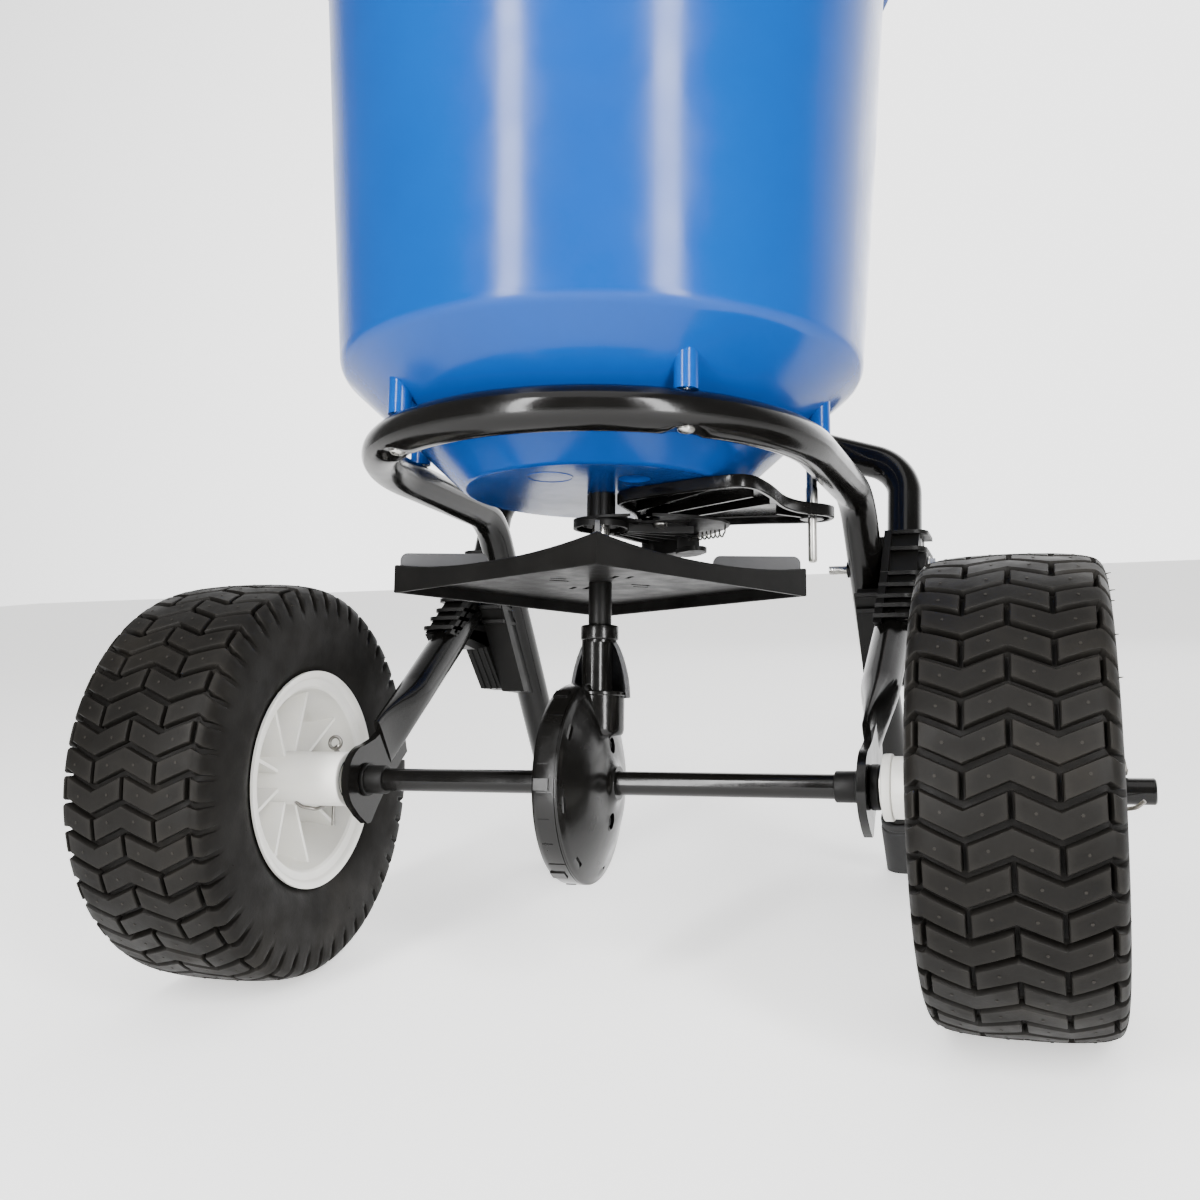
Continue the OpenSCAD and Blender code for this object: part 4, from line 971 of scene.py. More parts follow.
def clamp_outer():
    """Outer clamp half: a core round the handle tube, a front spine, an open ladder of ribs and a foot lobe."""
    shape = Shape()
    core = [(95.5, 207.5), (150, 202.5), (184, 236), (191, 262), (190, 270.5), (158.5, 270.5), (133.5, 240)]
    shape.prism(core, CLAMP_SPLIT, 157, SIDE_VIEW)
    spine = [(89.5, 206.5), (97, 205.5), (135.5, 240), (159.5, 271.6), (153.5, 271.6), (127.5, 240)]
    shape.prism(spine, CLAMP_SPLIT, 140.4, SIDE_VIEW)
    for z in RIB_HEIGHTS:
        reach = 159.8 if z < 230 else 162.2
        near, far = rib_front(z), min(191, z - 45)
        front = [(reach - 10 * (1 - math.cos(a)), near + 10 - 10 * math.sin(a)) for a in
                 [math.radians(9 * k) for k in range(11)]]
        outline = front + [(CLAMP_SPLIT, near), (CLAMP_SPLIT, far), (reach, far)]
        shape.prism(outline, z, z + 2.4)
    lobe = [(97, 207), (103, 202), (128, 199), (150, 203), (150, 212), (112, 209.5)]
    shape.prism(lobe, CLAMP_SPLIT, 158, SIDE_VIEW)
    low = [(141, 206), (172, 175), (197, 175), (189, 206), (160, 221)]
    shape.prism(low, CLAMP_SPLIT, 151.6, SIDE_VIEW)
    for k in range(3):
        x = 138.5 + 4.6 * k
        shape.prism([(140.4, 206), (171.2, 174.6), (174, 177), (143, 208)], x, x + 1.3, SIDE_VIEW)
    shape.rod(9.5, 154, 162.4, along("x", (0, *CLAMP_BOLT)), edge=0.8)
    return shape


def clamp_inner():
    """Inner clamp half: a block in front of the rear leg with a ledged top, and a thinner part behind the leg."""
    shape = Shape()
    block = [(132, 228.4), (136.5, 232.4), (169.5, 232.4), (177, 226), (206.5, 184), (199.6, 173), (173.4, 173)]
    shape.prism(block, 120.6, CLAMP_SPLIT - 0.1, SIDE_VIEW)
    flange = [(132, 229), (140.5, 229), (182, 173.4), (173.2, 172.6)]
    shape.prism(flange, 118.9, 121.4, SIDE_VIEW)
    for y, z in ((131.4, 226.8), (137.6, 217.6)):
        shape.prism([(y - 1.2, z), (y + 20, z), (y + 20, z + 2.2), (y - 1.6, z + 2.2)], 119.4, CLAMP_SPLIT - 0.4,
                    SIDE_VIEW)
    upper = [(139, 265), (164, 232), (175, 229), (169, 261), (150, 267)]
    shape.prism(upper, 123.4, CLAMP_SPLIT - 0.1, SIDE_VIEW)
    return shape


def make_clamps():
    """Both halves of the clamps that tie the handle tubes to the rear legs."""
    outer, inner = clamp_outer(), clamp_inner()
    for label, m in (("right", None), ("left", MIRROR)):
        piece(f"ribbed_clamp_{label}", Shape().join(outer, m), "frame", "black_plastic", [f"clamp_outer_{label}"])
        piece(f"leg_clamp_{label}", Shape().join(inner, m), "frame", "black_plastic", [f"clamp_inner_{label}"])


def make_clamp_bolts():
    """Hexagon bolts through the clamps, with the rivet nuts inside the legs."""
    at = (0, *CLAMP_BOLT)
    bolt = Shape()
    bolt.rod(2.99, 114, 163, along("x", at))
    bolt.join(threaded_rod(2.99, 100.8, 114.2, along("x", at)))
    bolt.prism(arc((0, 0), 5.6, 0, 300, 5), 163.6, 167.2, along("x", at))
    bolt.rod(6.4, 162.6, 163.8, along("x", at), edge=0.3)
    piece("clamp_bolt_pair", both_sides(bolt), "frame", "zinc_steel", ["clamp_bolts"])
    nut = Shape().rod(4.4, 113.2, 121, along("x", at), bore=3.05)
    nut.rod(5.4, 112.3, 113.3, along("x", at), bore=3.05, edge=0.3)
    piece("rivet_nut_pair", both_sides(nut), "frame", "gloss_black_paint", ["clamp_nuts"])


def make_axle_group():
    """Bushes that carry the axle in its plates."""
    at = (0, 0, AXLE_Z)
    bush = Shape()
    bush.rod(8.0, 127.8, 141.2, along("x", at), bore=6.42, edge=0.6, steps=48)
    bush.rod(8.0, 140.9, 146, along("x", at), bore=6.42, steps=48)
    bush.rod(11.5, 145.7, 150.4, along("x", at), bore=6.42, edge=0.8, steps=48)
    bush.rod(9.4, 138.6, 140.9, along("x", at), bore=7.9, edge=0.5, steps=48)
    piece("axle_bush_pair", both_sides(bush), "frame", "black_plastic", ["axle_bushes"])


# ---------------------------------------------------------------------------
# Axle, pins and washers
# ---------------------------------------------------------------------------
END_PIN_X = 263.0


def make_axle():
    """Axle bar with its groove and cross holes, and the washers on it."""
    bar = Shape()
    ends = [(5.6, -278), (6.35, -277.2), (6.35, -259.5), (5.6, -259.45), (5.6, -258.35), (6.35, -258.3),
            (6.35, 277.2), (5.6, 278)]
    bar.stack(ends, along("x", (0, 0, AXLE_Z)), 40)
    for x in (-PIN_X, END_PIN_X):
        bar.cut(Shape().rod(1.7, AXLE_Z - 12, AXLE_Z + 12, Matrix.Translation((x, 0, 0)), steps=20))
    piece("drive_axle_bar", bar, "drive_axle", "gloss_black_paint", ["axle"])
    rings = Shape()
    for x, r in ((-151.6, 11), (150.7, 11), (END_PIN_X - 4.2, 9.5)):
        rings.rod(r, x, x + 0.9, along("x", (0, 0, AXLE_Z)), bore=6.45, edge=0.25, steps=48)
    piece("plain_washers", rings, "drive_axle", "zinc_steel", ["axle_washers"])


def hairpin(reach, r=1.0):
    """Spring clip: straight leg down through the hub, a coil on top and a bow round the outside."""
    coil = []
    for k in range(15):
        a = math.radians(-90 + 30 * k)
        coil.append((3.4 * math.cos(a) - 0.2 * k / 14, -0.15 * k, reach + 5.2 + 3.4 * math.sin(a)))
    leg = [(0, 0, -reach - 11), (0, 0, -reach), (0, 0, 0), (0, 0, reach), (0, 0, reach + 1)]
    bow = []
    for k in range(9):
        a = math.radians(98 + 21 * k)
        bow.append((-2.2 - 1.3 * k, -(reach + 2.0) * math.cos(a), (reach + 2.0) * math.sin(a)))
    tail = [(-15, -1, -reach - 1.4), (-18, -5, -reach - 0.4), (-20, -8.5, -reach + 2.5)]
    return wire(leg + coil + bow + tail, r)


def make_pins():
    """Spring clips: one drives the left wheel, one keeps the right wheel on."""
    left = Shape().join(hairpin(HUB_R), Matrix.Translation((-PIN_X, 0, AXLE_Z)))
    piece("hub_hairpin_left", left, "drive_axle", "spring_steel", ["hub_pin_left"])
    crosswise = Matrix.Rotation(math.pi / 2, 4, "Z")
    right = Shape().join(hairpin(AXLE_R), Matrix.Translation((END_PIN_X, 0, AXLE_Z)) @ crosswise)
    piece("axle_hairpin_right", right, "drive_axle", "spring_steel", ["end_pin_right"])


# ---------------------------------------------------------------------------
# Hopper and what hangs from its floor
# ---------------------------------------------------------------------------
PORTS = ((27, -8), (30, -32))
PORT_R = 8.5


def make_hopper():
    """Lathed hopper with its ports, lugs and sight ring, its screws and the shaft bush in its floor."""
    rim_r = WALL_R + (RIM_Z - WALL_Z) * 0.06
    t = HOPPER_T
    floor_edge = (FLOOR_R, FLOOR_Z)
    chine = (144.6, 335.3)
    wall_top = (rim_r, RIM_Z - 16)
    outside = [(7.3, FLOOR_Z), (40, FLOOR_Z)]
    outside += blend_corner((40, FLOOR_Z), floor_edge, chine, 5.0)
    outside += [(110, 303.7)]
    outside += blend_corner(floor_edge, chine, wall_top, 13.0, 10)
    outside += [(WALL_R + 6, WALL_Z + 100)]
    outside += blend_corner(chine, wall_top, (rim_r + 7, RIM_Z - 14.2), 2.5, 4)
    outside += blend_corner(wall_top, (rim_r + 7, RIM_Z - 14.2), (rim_r + 7, RIM_Z), 1.6, 3)
    outside += blend_corner((rim_r + 7, RIM_Z - 10), (rim_r + 7, RIM_Z), (rim_r - t, RIM_Z), 2.6, 6)
    inside = blend_corner((rim_r + 2, RIM_Z), (rim_r - t, RIM_Z), (WALL_R - t, WALL_Z), 2.2, 5)
    inside += blend_corner((rim_r - t, RIM_Z), (WALL_R - t - 0.3, WALL_Z + 1), (FLOOR_R - 1, FLOOR_Z + t), 12.0, 8)
    inside += [(FLOOR_R - 1, FLOOR_Z + t), (40, FLOOR_Z + t), (7.3, FLOOR_Z + t)]
    body = Shape().lathe(outside + inside, steps=192)
    for x, y in PORTS:
        body.cut(Shape().rod(PORT_R, FLOOR_Z - 3, FLOOR_Z + 8, Matrix.Translation((x, y, 0)), steps=48))
    ring = Shape().rod(12.3, FLOOR_Z - 0.28, FLOOR_Z + 0.4, Matrix.Translation((-11, -49, 0)), bore=11.7, steps=64)
    lugs = Shape()
    for a in LUG_ANGLES:
        w = math.radians(a)
        at = Matrix.Translation((HOOP_R * math.cos(w), HOOP_R * math.sin(w), 0)) @ Matrix.Rotation(w, 4, "Z")
        lug = Shape().rod(6.0, HOOP_Z + TUBE_R + 0.15, HOOP_Z + TUBE_R + 21, steps=40)
        web = [(-6, 302), (8, 322), (8, 330), (-14, 312)]
        lug.prism(web, -1.3, 1.3, UPRIGHT)
        lugs.join(lug, at)
    body.join(ring).join(lugs)
    body.lathe([(18, FLOOR_Z + 0.2), (18.8, FLOOR_Z + 0.2), (18.8, FLOOR_Z + t + 0.5), (18, FLOOR_Z + t + 0.5)],
               steps=72)
    piece("round_hopper", body, "frame", "blue_plastic", ["hopper"], sharp=40)

    screws = Shape()
    head = pan_head(4.3, 2.4)
    for a in LUG_ANGLES:
        w = math.radians(a)
        at = Matrix.Translation((HOOP_R * math.cos(w), HOOP_R * math.sin(w), HOOP_Z - TUBE_R + DENT))
        screws.join(head, at @ Matrix.Rotation(math.pi, 4, "X") @ Matrix.Rotation(w, 4, "Z"))
        screws.rod(2.3, -1, 30, at)
    piece("hopper_mount_screws", screws, "frame", "zinc_steel", ["hopper_screws"])

    bush = Shape()
    bush.rod(7.0, 256.2, FLOOR_Z + 5, bore=4.85, steps=40)
    bush.rod(8.6, 254, 256.6, bore=4.85, edge=0.5, steps=48)
    bush.rod(11, FLOOR_Z + 3.1, FLOOR_Z + 5.4, bore=4.85, edge=0.6, steps=48)
    for k in range(8):
        bush.block((6.6, 7.9), (-0.5, 0.5), (256.4, FLOOR_Z - 0.2),
                   Matrix.Rotation(math.radians(45 * k + 10), 4, "Z"))
    piece("shaft_bush", bush, "frame", "black_plastic", ["hopper_bush"])


GATE_TOP = 272.2
GATE_PTS = [(10.5, -12), (77, -32), (88, -31), (94, -24), (97, 0), (97, 30), (103, 48), (116, 60), (119, 70),
            (112, 81), (98, 82), (70, 76), (40, 74), (12, 82), (0, 75), (-1, 62), (9.5, 30), (10, 14)]
GATE_PIVOT = (12, 68)
ROD_EYE = (105, 70)
GUIDE_TOP = 257.5


def make_gate():
    """Swinging shut-off plate: a thin top with a deep rim, stiffening ribs, a pocket and its two bosses."""
    outline = smooth_outline(GATE_PTS)
    low = GATE_TOP - 7
    plate = Shape()
    steps = ((0.6, GATE_TOP), (0.15, GATE_TOP - 0.25), (0, GATE_TOP - 0.8), (0, low + 0.6), (0.5, low),
             (2.0, low), (2.5, low + 0.6), (2.7, GATE_TOP - 3.1), (3.6, GATE_TOP - 2.4))
    plate.loft([[(x, y, z) for x, y in inset(outline, d)] for d, z in steps])
    boss = Shape().rod(11, low - 0.6, GATE_TOP - 1, Matrix.Translation((*GATE_PIVOT, 0)), bore=6.1, edge=0.7, steps=48)
    eye = Shape().rod(7, low, GATE_TOP - 1, Matrix.Translation((*ROD_EYE, 0)), bore=2.7, edge=0.7, steps=40)
    plate.cut(Shape().rod(6.1, 250, 280, Matrix.Translation((*GATE_PIVOT, 0)), steps=48),
              Shape().rod(2.7, 250, 280, Matrix.Translation((*ROD_EYE, 0)), steps=32))
    plate.join(boss).join(eye)
    rib_lines = (((20, 62), (88, 50)), ((22, 54), (90, 22)), ((14, 40), (86, 0)), ((14, 22), (70, -24)),
                 ((60, 70), (96, 30)), ((88, 52), (100, 66)))
    for (x0, y0), (x1, y1) in rib_lines:
        d = Vector((x1 - x0, y1 - y0, 0))
        m = frame_at((x0, y0, GATE_TOP - 6.2), d, (0, 0, 1))
        plate.block((0, d.length), (-0.8, 0.8), (0, 4.6), m)
    pocket = arc((74, 44), 9.5, 20, 200, 12) + [(63, 50), (68, 60), (84, 52)]
    plate.prism(pocket, low - 1.2, GATE_TOP - 2.5)
    plate.cut(Shape().prism(inset(pocket, 2.0), low - 3, low + 2.8))
    piece("shutoff_gate", plate, "gate", "gloss_black_plastic", ["gate_plate"], sharp=35)


def make_gate_guide():
    """Fixed carrier under the gate with a fan of thin ribs, a stop block and the return spring."""
    top = GUIDE_TOP
    outline = smooth_outline([(-15, -6), (-9, -14), (8, -18.5), (40, -14), (66, 8), (68, 30), (44, 58), (18, 77),
                              (2, 76), (-8, 40), (-15, 10)])
    shape = Shape().prism(outline, top - 1.4, top)
    windows = []
    for k in range(6):
        a0, a1 = math.radians(2 + 13 * k), math.radians(11.5 + 13 * k)
        far = 50 - 1.5 * k
        quad = [(r * math.cos(a), r * math.sin(a)) for r, a in ((21, a0), (far, a0), (far, a1), (21, a1))]
        windows.append(Shape().prism(quad, top - 5, top + 3))
    for x, y in PORTS:
        windows.append(Shape().rod(PORT_R + 1, top - 20, top + 5, Matrix.Translation((x, y, 0)), steps=48))
    windows.append(Shape().rod(8.8, top - 20, top + 5, steps=48))
    shape.cut(*windows)
    shape.lathe([(13.6, top - 4.8), (15.4, top - 4.8), (15.4, top - 1), (13.6, top - 1)], steps=64)
    shape.lathe([(8.8, top - 3.2), (10.2, top - 3.2), (10.2, top - 1), (8.8, top - 1)], steps=48)
    for k in range(2, 7):
        a = math.radians(0.3 + 13 * k)
        d = Vector((math.cos(a), math.sin(a), 0))
        m = frame_at(d * 15 + Vector((0, 0, top - 5.6)), d, (0, 0, 1))
        shape.block((0, 37), (-0.7, 0.7), (0, 5), m)
    for r in (34, 51):
        shape.lathe([(r - 0.7, top - 4.2), (r + 0.7, top - 4.2), (r + 0.7, top - 0.5), (r - 0.7, top - 0.5)],
                    steps=20, start=28, sweep=50)
    at = Matrix.Translation((*GATE_PIVOT, 0))
    shape.rod(10, top - 14, top - 0.6, at, edge=0.8, steps=44)
    shape.rod(5.9, top - 1, FLOOR_Z - 0.15, at, steps=40)
    block = [(6, 62), (30, 47), (42, 52), (40, 60), (22, 70)]
    shape.prism(block, top - 11.5, top - 0.7)
    tab = smooth_outline([(30, 40), (44, 30), (50, 33), (50, 42), (40, 54), (30, 56)])
    shape.prism(tab, top - 13.6, top - 11)
    piece("gate_carrier", shape, "frame", "black_plastic", ["gate_guide"])

    spring = []
    for k in range(61):
        a = 2 * math.pi * k / 10
        spring.append((46 + 0.28 * k, 33 - 0.12 * k + 2.0 * math.cos(a), top - 5.6 + 2.0 * math.sin(a)))
    coil = wire([(40, 38, top - 6), (44, 35, top - 5.6)] + spring + [(64, 26, top - 5), (64, 27, top - 1)], 0.5, 8)
    piece("return_spring", coil, "frame", "spring_steel")

    screws = Shape()
    at = Matrix.Translation((*GATE_PIVOT, top - 14))
    screws.join(pan_head(3.6, 2.1), at @ Matrix.Rotation(math.pi, 4, "X"))
    screws.rod(1.6, -0.5, FLOOR_Z + 15 - top, at, steps=20)
    screws.join(pan_head(3.9, 2.2), Matrix.Translation((31, 12, top - 1.4)) @ Matrix.Rotation(math.pi, 4, "X"))
    piece("carrier_screws", screws, "frame", "zinc_steel", ["guide_screw"])


# ---------------------------------------------------------------------------
# Gearbox
# ---------------------------------------------------------------------------
CASE_R = 53.7
CASE_LEFT = -18.2
CASE_SEAM = -4.0
TOWER_SEAM = -1.6


def make_gearbox():
    """Two case halves, their screws and the shield behind the tower."""
    axle = along("x", (0, 0, AXLE_Z))
    left = Shape()
    outline = [(6.5, -23.2), (12, -23.2), (13.2, -22.4), (14.4, -18.8), (16, CASE_LEFT), (30, CASE_LEFT - 0.6),
               (44, CASE_LEFT), (CASE_R - 4.5, CASE_LEFT + 0.4), (CASE_R - 1.6, CASE_LEFT + 1.4),
               (CASE_R - 0.4, CASE_LEFT + 3.4), (CASE_R - 0.1, CASE_LEFT + 5), (CASE_R - 0.1, CASE_SEAM - 0.4),
               (CASE_R - 2.4, CASE_SEAM - 0.4), (CASE_R - 2.4, CASE_LEFT + 3), (6.5, CASE_LEFT + 2.4)]
    left.lathe(outline, axle, steps=144)
    left.cut(Shape().rod(14.1, 130, 180, steps=48))
    for a in range(30, 340, 15):
        m = Matrix.Translation((0, 0, AXLE_Z)) @ Matrix.Rotation(math.radians(a + 4), 4, "X")
        long = 5.6 if (a // 15) % 3 else 9.0
        left.block((CASE_LEFT + 4.6, CASE_LEFT + 4.6 + long), (-0.28, 0.28), (CASE_R - 0.5, CASE_R + 0.22), m)
    for a in range(30, 360, 60):
        m = Matrix.Translation((0, 0, AXLE_Z)) @ Matrix.Rotation(math.radians(a), 4, "X")
        left.block((CASE_LEFT + 3, CASE_LEFT + 11), (-3, 3), (CASE_R - 0.8, CASE_R + 0.55), m)
    piece("gear_case_left", left, "frame", "gloss_black_plastic", ["gearbox_left"])

    right = Shape()
    dome = [(CASE_R - 0.1, CASE_SEAM), (CASE_R - 0.1, CASE_SEAM + 0.5), (CASE_R - 0.6, CASE_SEAM + 1.1),
            (CASE_R - 1.8, CASE_SEAM + 1.4), (CASE_R - 2.4, CASE_SEAM + 1.8)]
    for i in range(1, 12):
        t = i / 12
        r = CASE_R - 2.4 - (CASE_R - 2.4 - 15) * t
        dome.append((r, CASE_SEAM + 1.8 + 10.4 * math.sin(math.radians(90 * t)) ** 1.15))
    dome += [(13.6, 9.0), (11.2, 9.9), (9.8, 10.9), (9.0, 12.0), (6.5, 12.0), (6.5, 6.0), (14, 5.4)]
    for i in range(10, 0, -1):
        t = i / 12
        r = CASE_R - 4.0 - (CASE_R - 4.0 - 15) * t
        dome.append((r, CASE_SEAM - 0.6 + 10.0 * math.sin(math.radians(90 * t)) ** 1.15))
    dome += [(CASE_R - 3.4, CASE_SEAM)]
    right.lathe(dome, axle, steps=144)
    holes = []
    for a in range(0, 360, 45):
        m = Matrix.Translation((0, 0, AXLE_Z)) @ Matrix.Rotation(math.radians(a + 12), 4, "X")
        holes.append(Shape().block((CASE_SEAM + 2.6, CASE_SEAM + 14), (-4.2, 4.2), (CASE_R - 7.4, CASE_R - 4.6), m))
    for z in (-20, 20):
        holes.append(Shape().rod(4.3, 3.4, 20, along("x", (0, 0, AXLE_Z + z)), steps=36))
    holes.append(Shape().rod(1.3, 1.0, 20, along("x", (0, 2, AXLE_Z + 30.5)), steps=16))
    right.cut(*holes)
    for z in (-20, 20):
        right.rod(5.4, 4.0, 7.6, along("x", (0, 0, AXLE_Z + z)), bore=4.3, edge=0.5, steps=36)
        right.rod(4.6, 1.4, 3.6, along("x", (0, 0, AXLE_Z + z)), steps=36)
    right.join(gear_tower())
    piece("gear_case_right", right, "frame", "gloss_black_plastic", ["gearbox_right"])

    heads = Shape()
    head = pan_head(3.4, 2.2)
    for z in (-20, 20):
        heads.join(head, along("x", (4.9, 0, AXLE_Z + z)))
        heads.rod(2.0, 3.0, 5.2, along("x", (0, 0, AXLE_Z + z)), steps=20)
    piece("gear_case_screws", heads, "frame", "rubber", ["gearbox_screws"])

    shield = Shape()
    half = [(8.0, 31), (9.0, 31), (11.2, 27), (13.2, 22), (14.8, 16.5), (16, 11), (16.7, 5.5), (17, 0), (15.2, 0),
            (14.9, 5.5), (14.1, 11), (13, 16), (11.5, 21), (9.6, 26), (8.0, 29)]
    shield.lathe(half, Matrix.Translation((0, 0, 160)), steps=40, start=0, sweep=180)
    # the shield's grey colour is painted reflection of the bright surroundings
    piece("tower_shield", shield, "frame", "shield_plastic")


def gear_tower():
    """Bearing tower over the pinion: cup with a slanted front corner, two half columns and a collar."""
    tower = Shape()
    cup = Shape().stack([(9.5, 139.4), (12.6, 139.8), (13.4, 140.8), (13.8, 143), (13.8, 160.6), (14.3, 161.2),
                         (14.3, 162.6), (13.6, 163.2), (9.5, 163.2)], steps=56)
    slant = Matrix.Translation((-13.9, -2, 160)) @ Matrix.Rotation(math.radians(-20), 4, "Y")
    cup.cut(Shape().block((-30, 0), (-30, 30), (-40, 10), slant))
    tower.join(cup)
    for side, r in ((-1, 8.1), (1, 8.6)):
        start = -90 if side > 0 else 90
        outline = arc((0, 0), r, start, start + 180, 28)
        outline = [(x + (TOWER_SEAM + 0.12 * side), y) for x, y in outline]
        tower.prism(outline, 162.6, 192)
    tower.rod(10.3, 191, 199, bore=4.9, edge=0.8, steps=64)
    tower.rod(8.9, 189.6, 191.4, bore=4.9, steps=56)
    return tower


# ---------------------------------------------------------------------------
# Impeller and its shaft
# ---------------------------------------------------------------------------
PLATE_LOW = IMPELLER_Z + 6.5
VANE_TOP = IMPELLER_Z + 22


def make_impeller():
    """Square spinner with a skirt, deck and vanes, and the stirring wire on the same shaft."""
    turn = Matrix.Rotation(math.radians(IMPELLER_TURN), 4, "Z")
    half = IMPELLER_R / math.sqrt(2)
    skin = 2.2
    rings = []
    per_side = 20
    for side in range(4):
        spin = Matrix.Rotation(math.radians(90 * side + 45), 4, "Z")
        for k in range(per_side):
            t = 1 - 2 * k / per_side
            top = IMPELLER_Z + 9.5 + 6 * abs(t) ** 2.2
            ring = []
            for d, z in ((0.35, IMPELLER_Z), (0, IMPELLER_Z + 0.4), (0, top - 0.5), (0.4, top), (skin - 0.4, top),
                         (skin, top - 0.5), (skin, IMPELLER_Z + 0.4), (skin - 0.35, IMPELLER_Z)):
                y = half - d
                ring.append(spin @ Vector((y * t, y, z)))
            rings.append(ring)
    body = Shape().loft(rings, close=True, m=turn)
    deck = Shape().block((-half + 1, half - 1), (-half + 1, half - 1), (PLATE_LOW, PLATE_LOW + 2.5),
                         Matrix.Rotation(math.radians(45), 4, "Z"))
    slots = []
    for k in range(4):
        spin = Matrix.Rotation(math.radians(90 * k + 20), 4, "Z")
        slots.append(Shape().block((18, 29), (-2, 1), (PLATE_LOW - 1, PLATE_LOW + 5), spin))
        slots.append(Shape().block((22, 31), (6, 8.4), (PLATE_LOW - 1, PLATE_LOW + 5), spin))
    deck.cut(*slots)
    body.join(deck, turn)
    body.rod(6.3, 199.5, PLATE_LOW + 0.4, bore=4.8, edge=0.5, steps=48)
    body.rod(9, PLATE_LOW + 2, PLATE_LOW + 14, bore=4.8, edge=0.9, steps=56)
    for k in range(8):
        spin = Matrix.Rotation(math.radians(IMPELLER_TURN + 45 * k + 22.5), 4, "Z")
        outline = [(8, PLATE_LOW + 2.3), (20, PLATE_LOW + 2.3), (9, PLATE_LOW + 11.5), (8, PLATE_LOW + 11.5)]
        body.prism(outline, -0.9, 0.9, spin @ UPRIGHT)
    piece("impeller_disc", body, "spinner", "black_plastic", ["impeller"], sharp=35)

    vanes = Shape()
    for k in range(4):
        spin = Matrix.Rotation(math.radians(IMPELLER_TURN + 90 * k), 4, "Z")
        low, high = PLATE_LOW + 1.8, VANE_TOP
        outline = [(62, low), (110.3, low)] + arc((106.3, high - 4), 4, 0, 90, 6) + arc((66, high - 4), 4, 90, 180, 6)
        vanes.prism(outline, -1.1, 1.1, spin @ UPRIGHT)
        vanes.prism([(59, low), (62.6, low), (62.6, low + 4)], -1.1, 1.1, spin @ UPRIGHT)
    piece("impeller_vanes", vanes, "spinner", "vane_plastic")

    stir = Shape()
    for s in (-1, 1):
        arm = [Vector((0, 0, 286)), Vector((s * 33, 0, 286)), Vector((s * 33, 0, 292.4))]
        stir.pipe(route(arm, [3], 15), 1.45, 16)
        stir.rod(1.45, 280, 287, Matrix.Translation((s * 29.5, 0, 0)), steps=16, edge=0.4)
    piece("stirring_wire", Shape().join(stir, turn), "spinner", "zinc_steel", ["agitator"])


# ---------------------------------------------------------------------------
# Handle
# ---------------------------------------------------------------------------
BRACE_AT = 300
BAR_AT = HIP + (HANDLE_LEN + 14) * UP
BAR_R = 12.7


def on_handle(t, x=HIP.x):
    """A point at a distance along the straight handle."""
    return Vector((x, HIP.y, HIP.z)) + t * UP


def handle_frame(t, x=HIP.x):
    """A placement on the straight handle whose Z axis runs along it."""
    return frame_at(on_handle(t, x), (1, 0, 0), UP)


def make_handle():
    """Upper handle tubes, brace and the bolts and wing nuts of the joint."""
    for label, s in (("right", 1), ("left", -1)):
        x = s * HIP.x
        tube = Shape()
        stops = [(on_handle(JOINT_AT + 0.3, x), UP), (on_handle(JOINT_AT + 1.2, x), UP),
                 (on_handle(HANDLE_LEN, x), UP)]
        tube.pipe(stops, TUBE_R, sides=40, bore=TUBE_R - 1.5)
        tube.pipe([(on_handle(JOINT_AT - 40, x), UP), (on_handle(JOINT_AT + 6, x), UP)], TUBE_R - 1.9, sides=36,
                  bore=TUBE_R - 3.3)
        piece(f"handle_tube_{label}", tube, "frame", "gloss_black_paint", [f"upper_tube_{label}"])

    m = handle_frame(BRACE_AT, 0)
    strip = Shape().block((-90, 90), (TUBE_R + 0.15, TUBE_R + 3.1), (-10, 10), m).round_edges(0.7)
    piece("brace_strip", strip, "frame", "gloss_black_paint", ["handle_brace"])

    bolts = Shape()
    head = pan_head(4.8, 3.2)
    for s in (-1, 1):
        m = handle_frame(BRACE_AT, s * HIP.x)
        front = m @ Matrix.Rotation(math.pi / 2, 4, "X")
        bolts.rod(2.5, -TUBE_R - 7.4, TUBE_R + 0.6, front, steps=24)
        bolts.join(head, front @ Matrix.Translation((0, 0, TUBE_R + 0.3)))
        bolts.join(hex_nut(4.6, 3.8, front @ Matrix.Translation((0, 0, -TUBE_R - 7.2))))
    piece("brace_bolt_pair", bolts, "frame", "zinc_steel", ["brace_bolts"])

    bolts, wings = Shape(), Shape()
    bolt = Shape().rod(2.5, -TUBE_R - 3, TUBE_R + 1, steps=24)
    bolt.join(threaded_rod(2.5, -TUBE_R - 10, -TUBE_R - 2.9, Matrix.Identity(4), 0.8, 0.25))
    bolt.join(pan_head(5, 3.4), Matrix.Translation((0, 0, TUBE_R + 0.4)))
    nut = Shape().rod(5.2, -TUBE_R - 6.5, -TUBE_R - 0.3, bore=2.6, edge=0.5, steps=36)
    wing = smooth_outline([(3, -3), (9, -5), (14.2, -3), (14.2, 4), (9, 5.6), (3, 3)])
    for s in (-1, 1):
        turned = Matrix.Rotation(math.pi if s < 0 else 0, 4, "Z")
        nut.prism(wing, -TUBE_R - 7.8, -TUBE_R - 5.0, turned)
    for s in (-1, 1):
        m = handle_frame(JOINT_AT - 22, s * HIP.x) @ frame_at((0, 0, 0), (0, 1, 0), (s, 0, 0))
        bolts.join(bolt, m)
        wings.join(nut, m)
    piece("joint_bolt_pair", bolts, "frame", "zinc_steel", ["joint_bolts"])
    piece("wing_nut_pair", wings, "frame", "zinc_steel", ["joint_wing_nuts"])


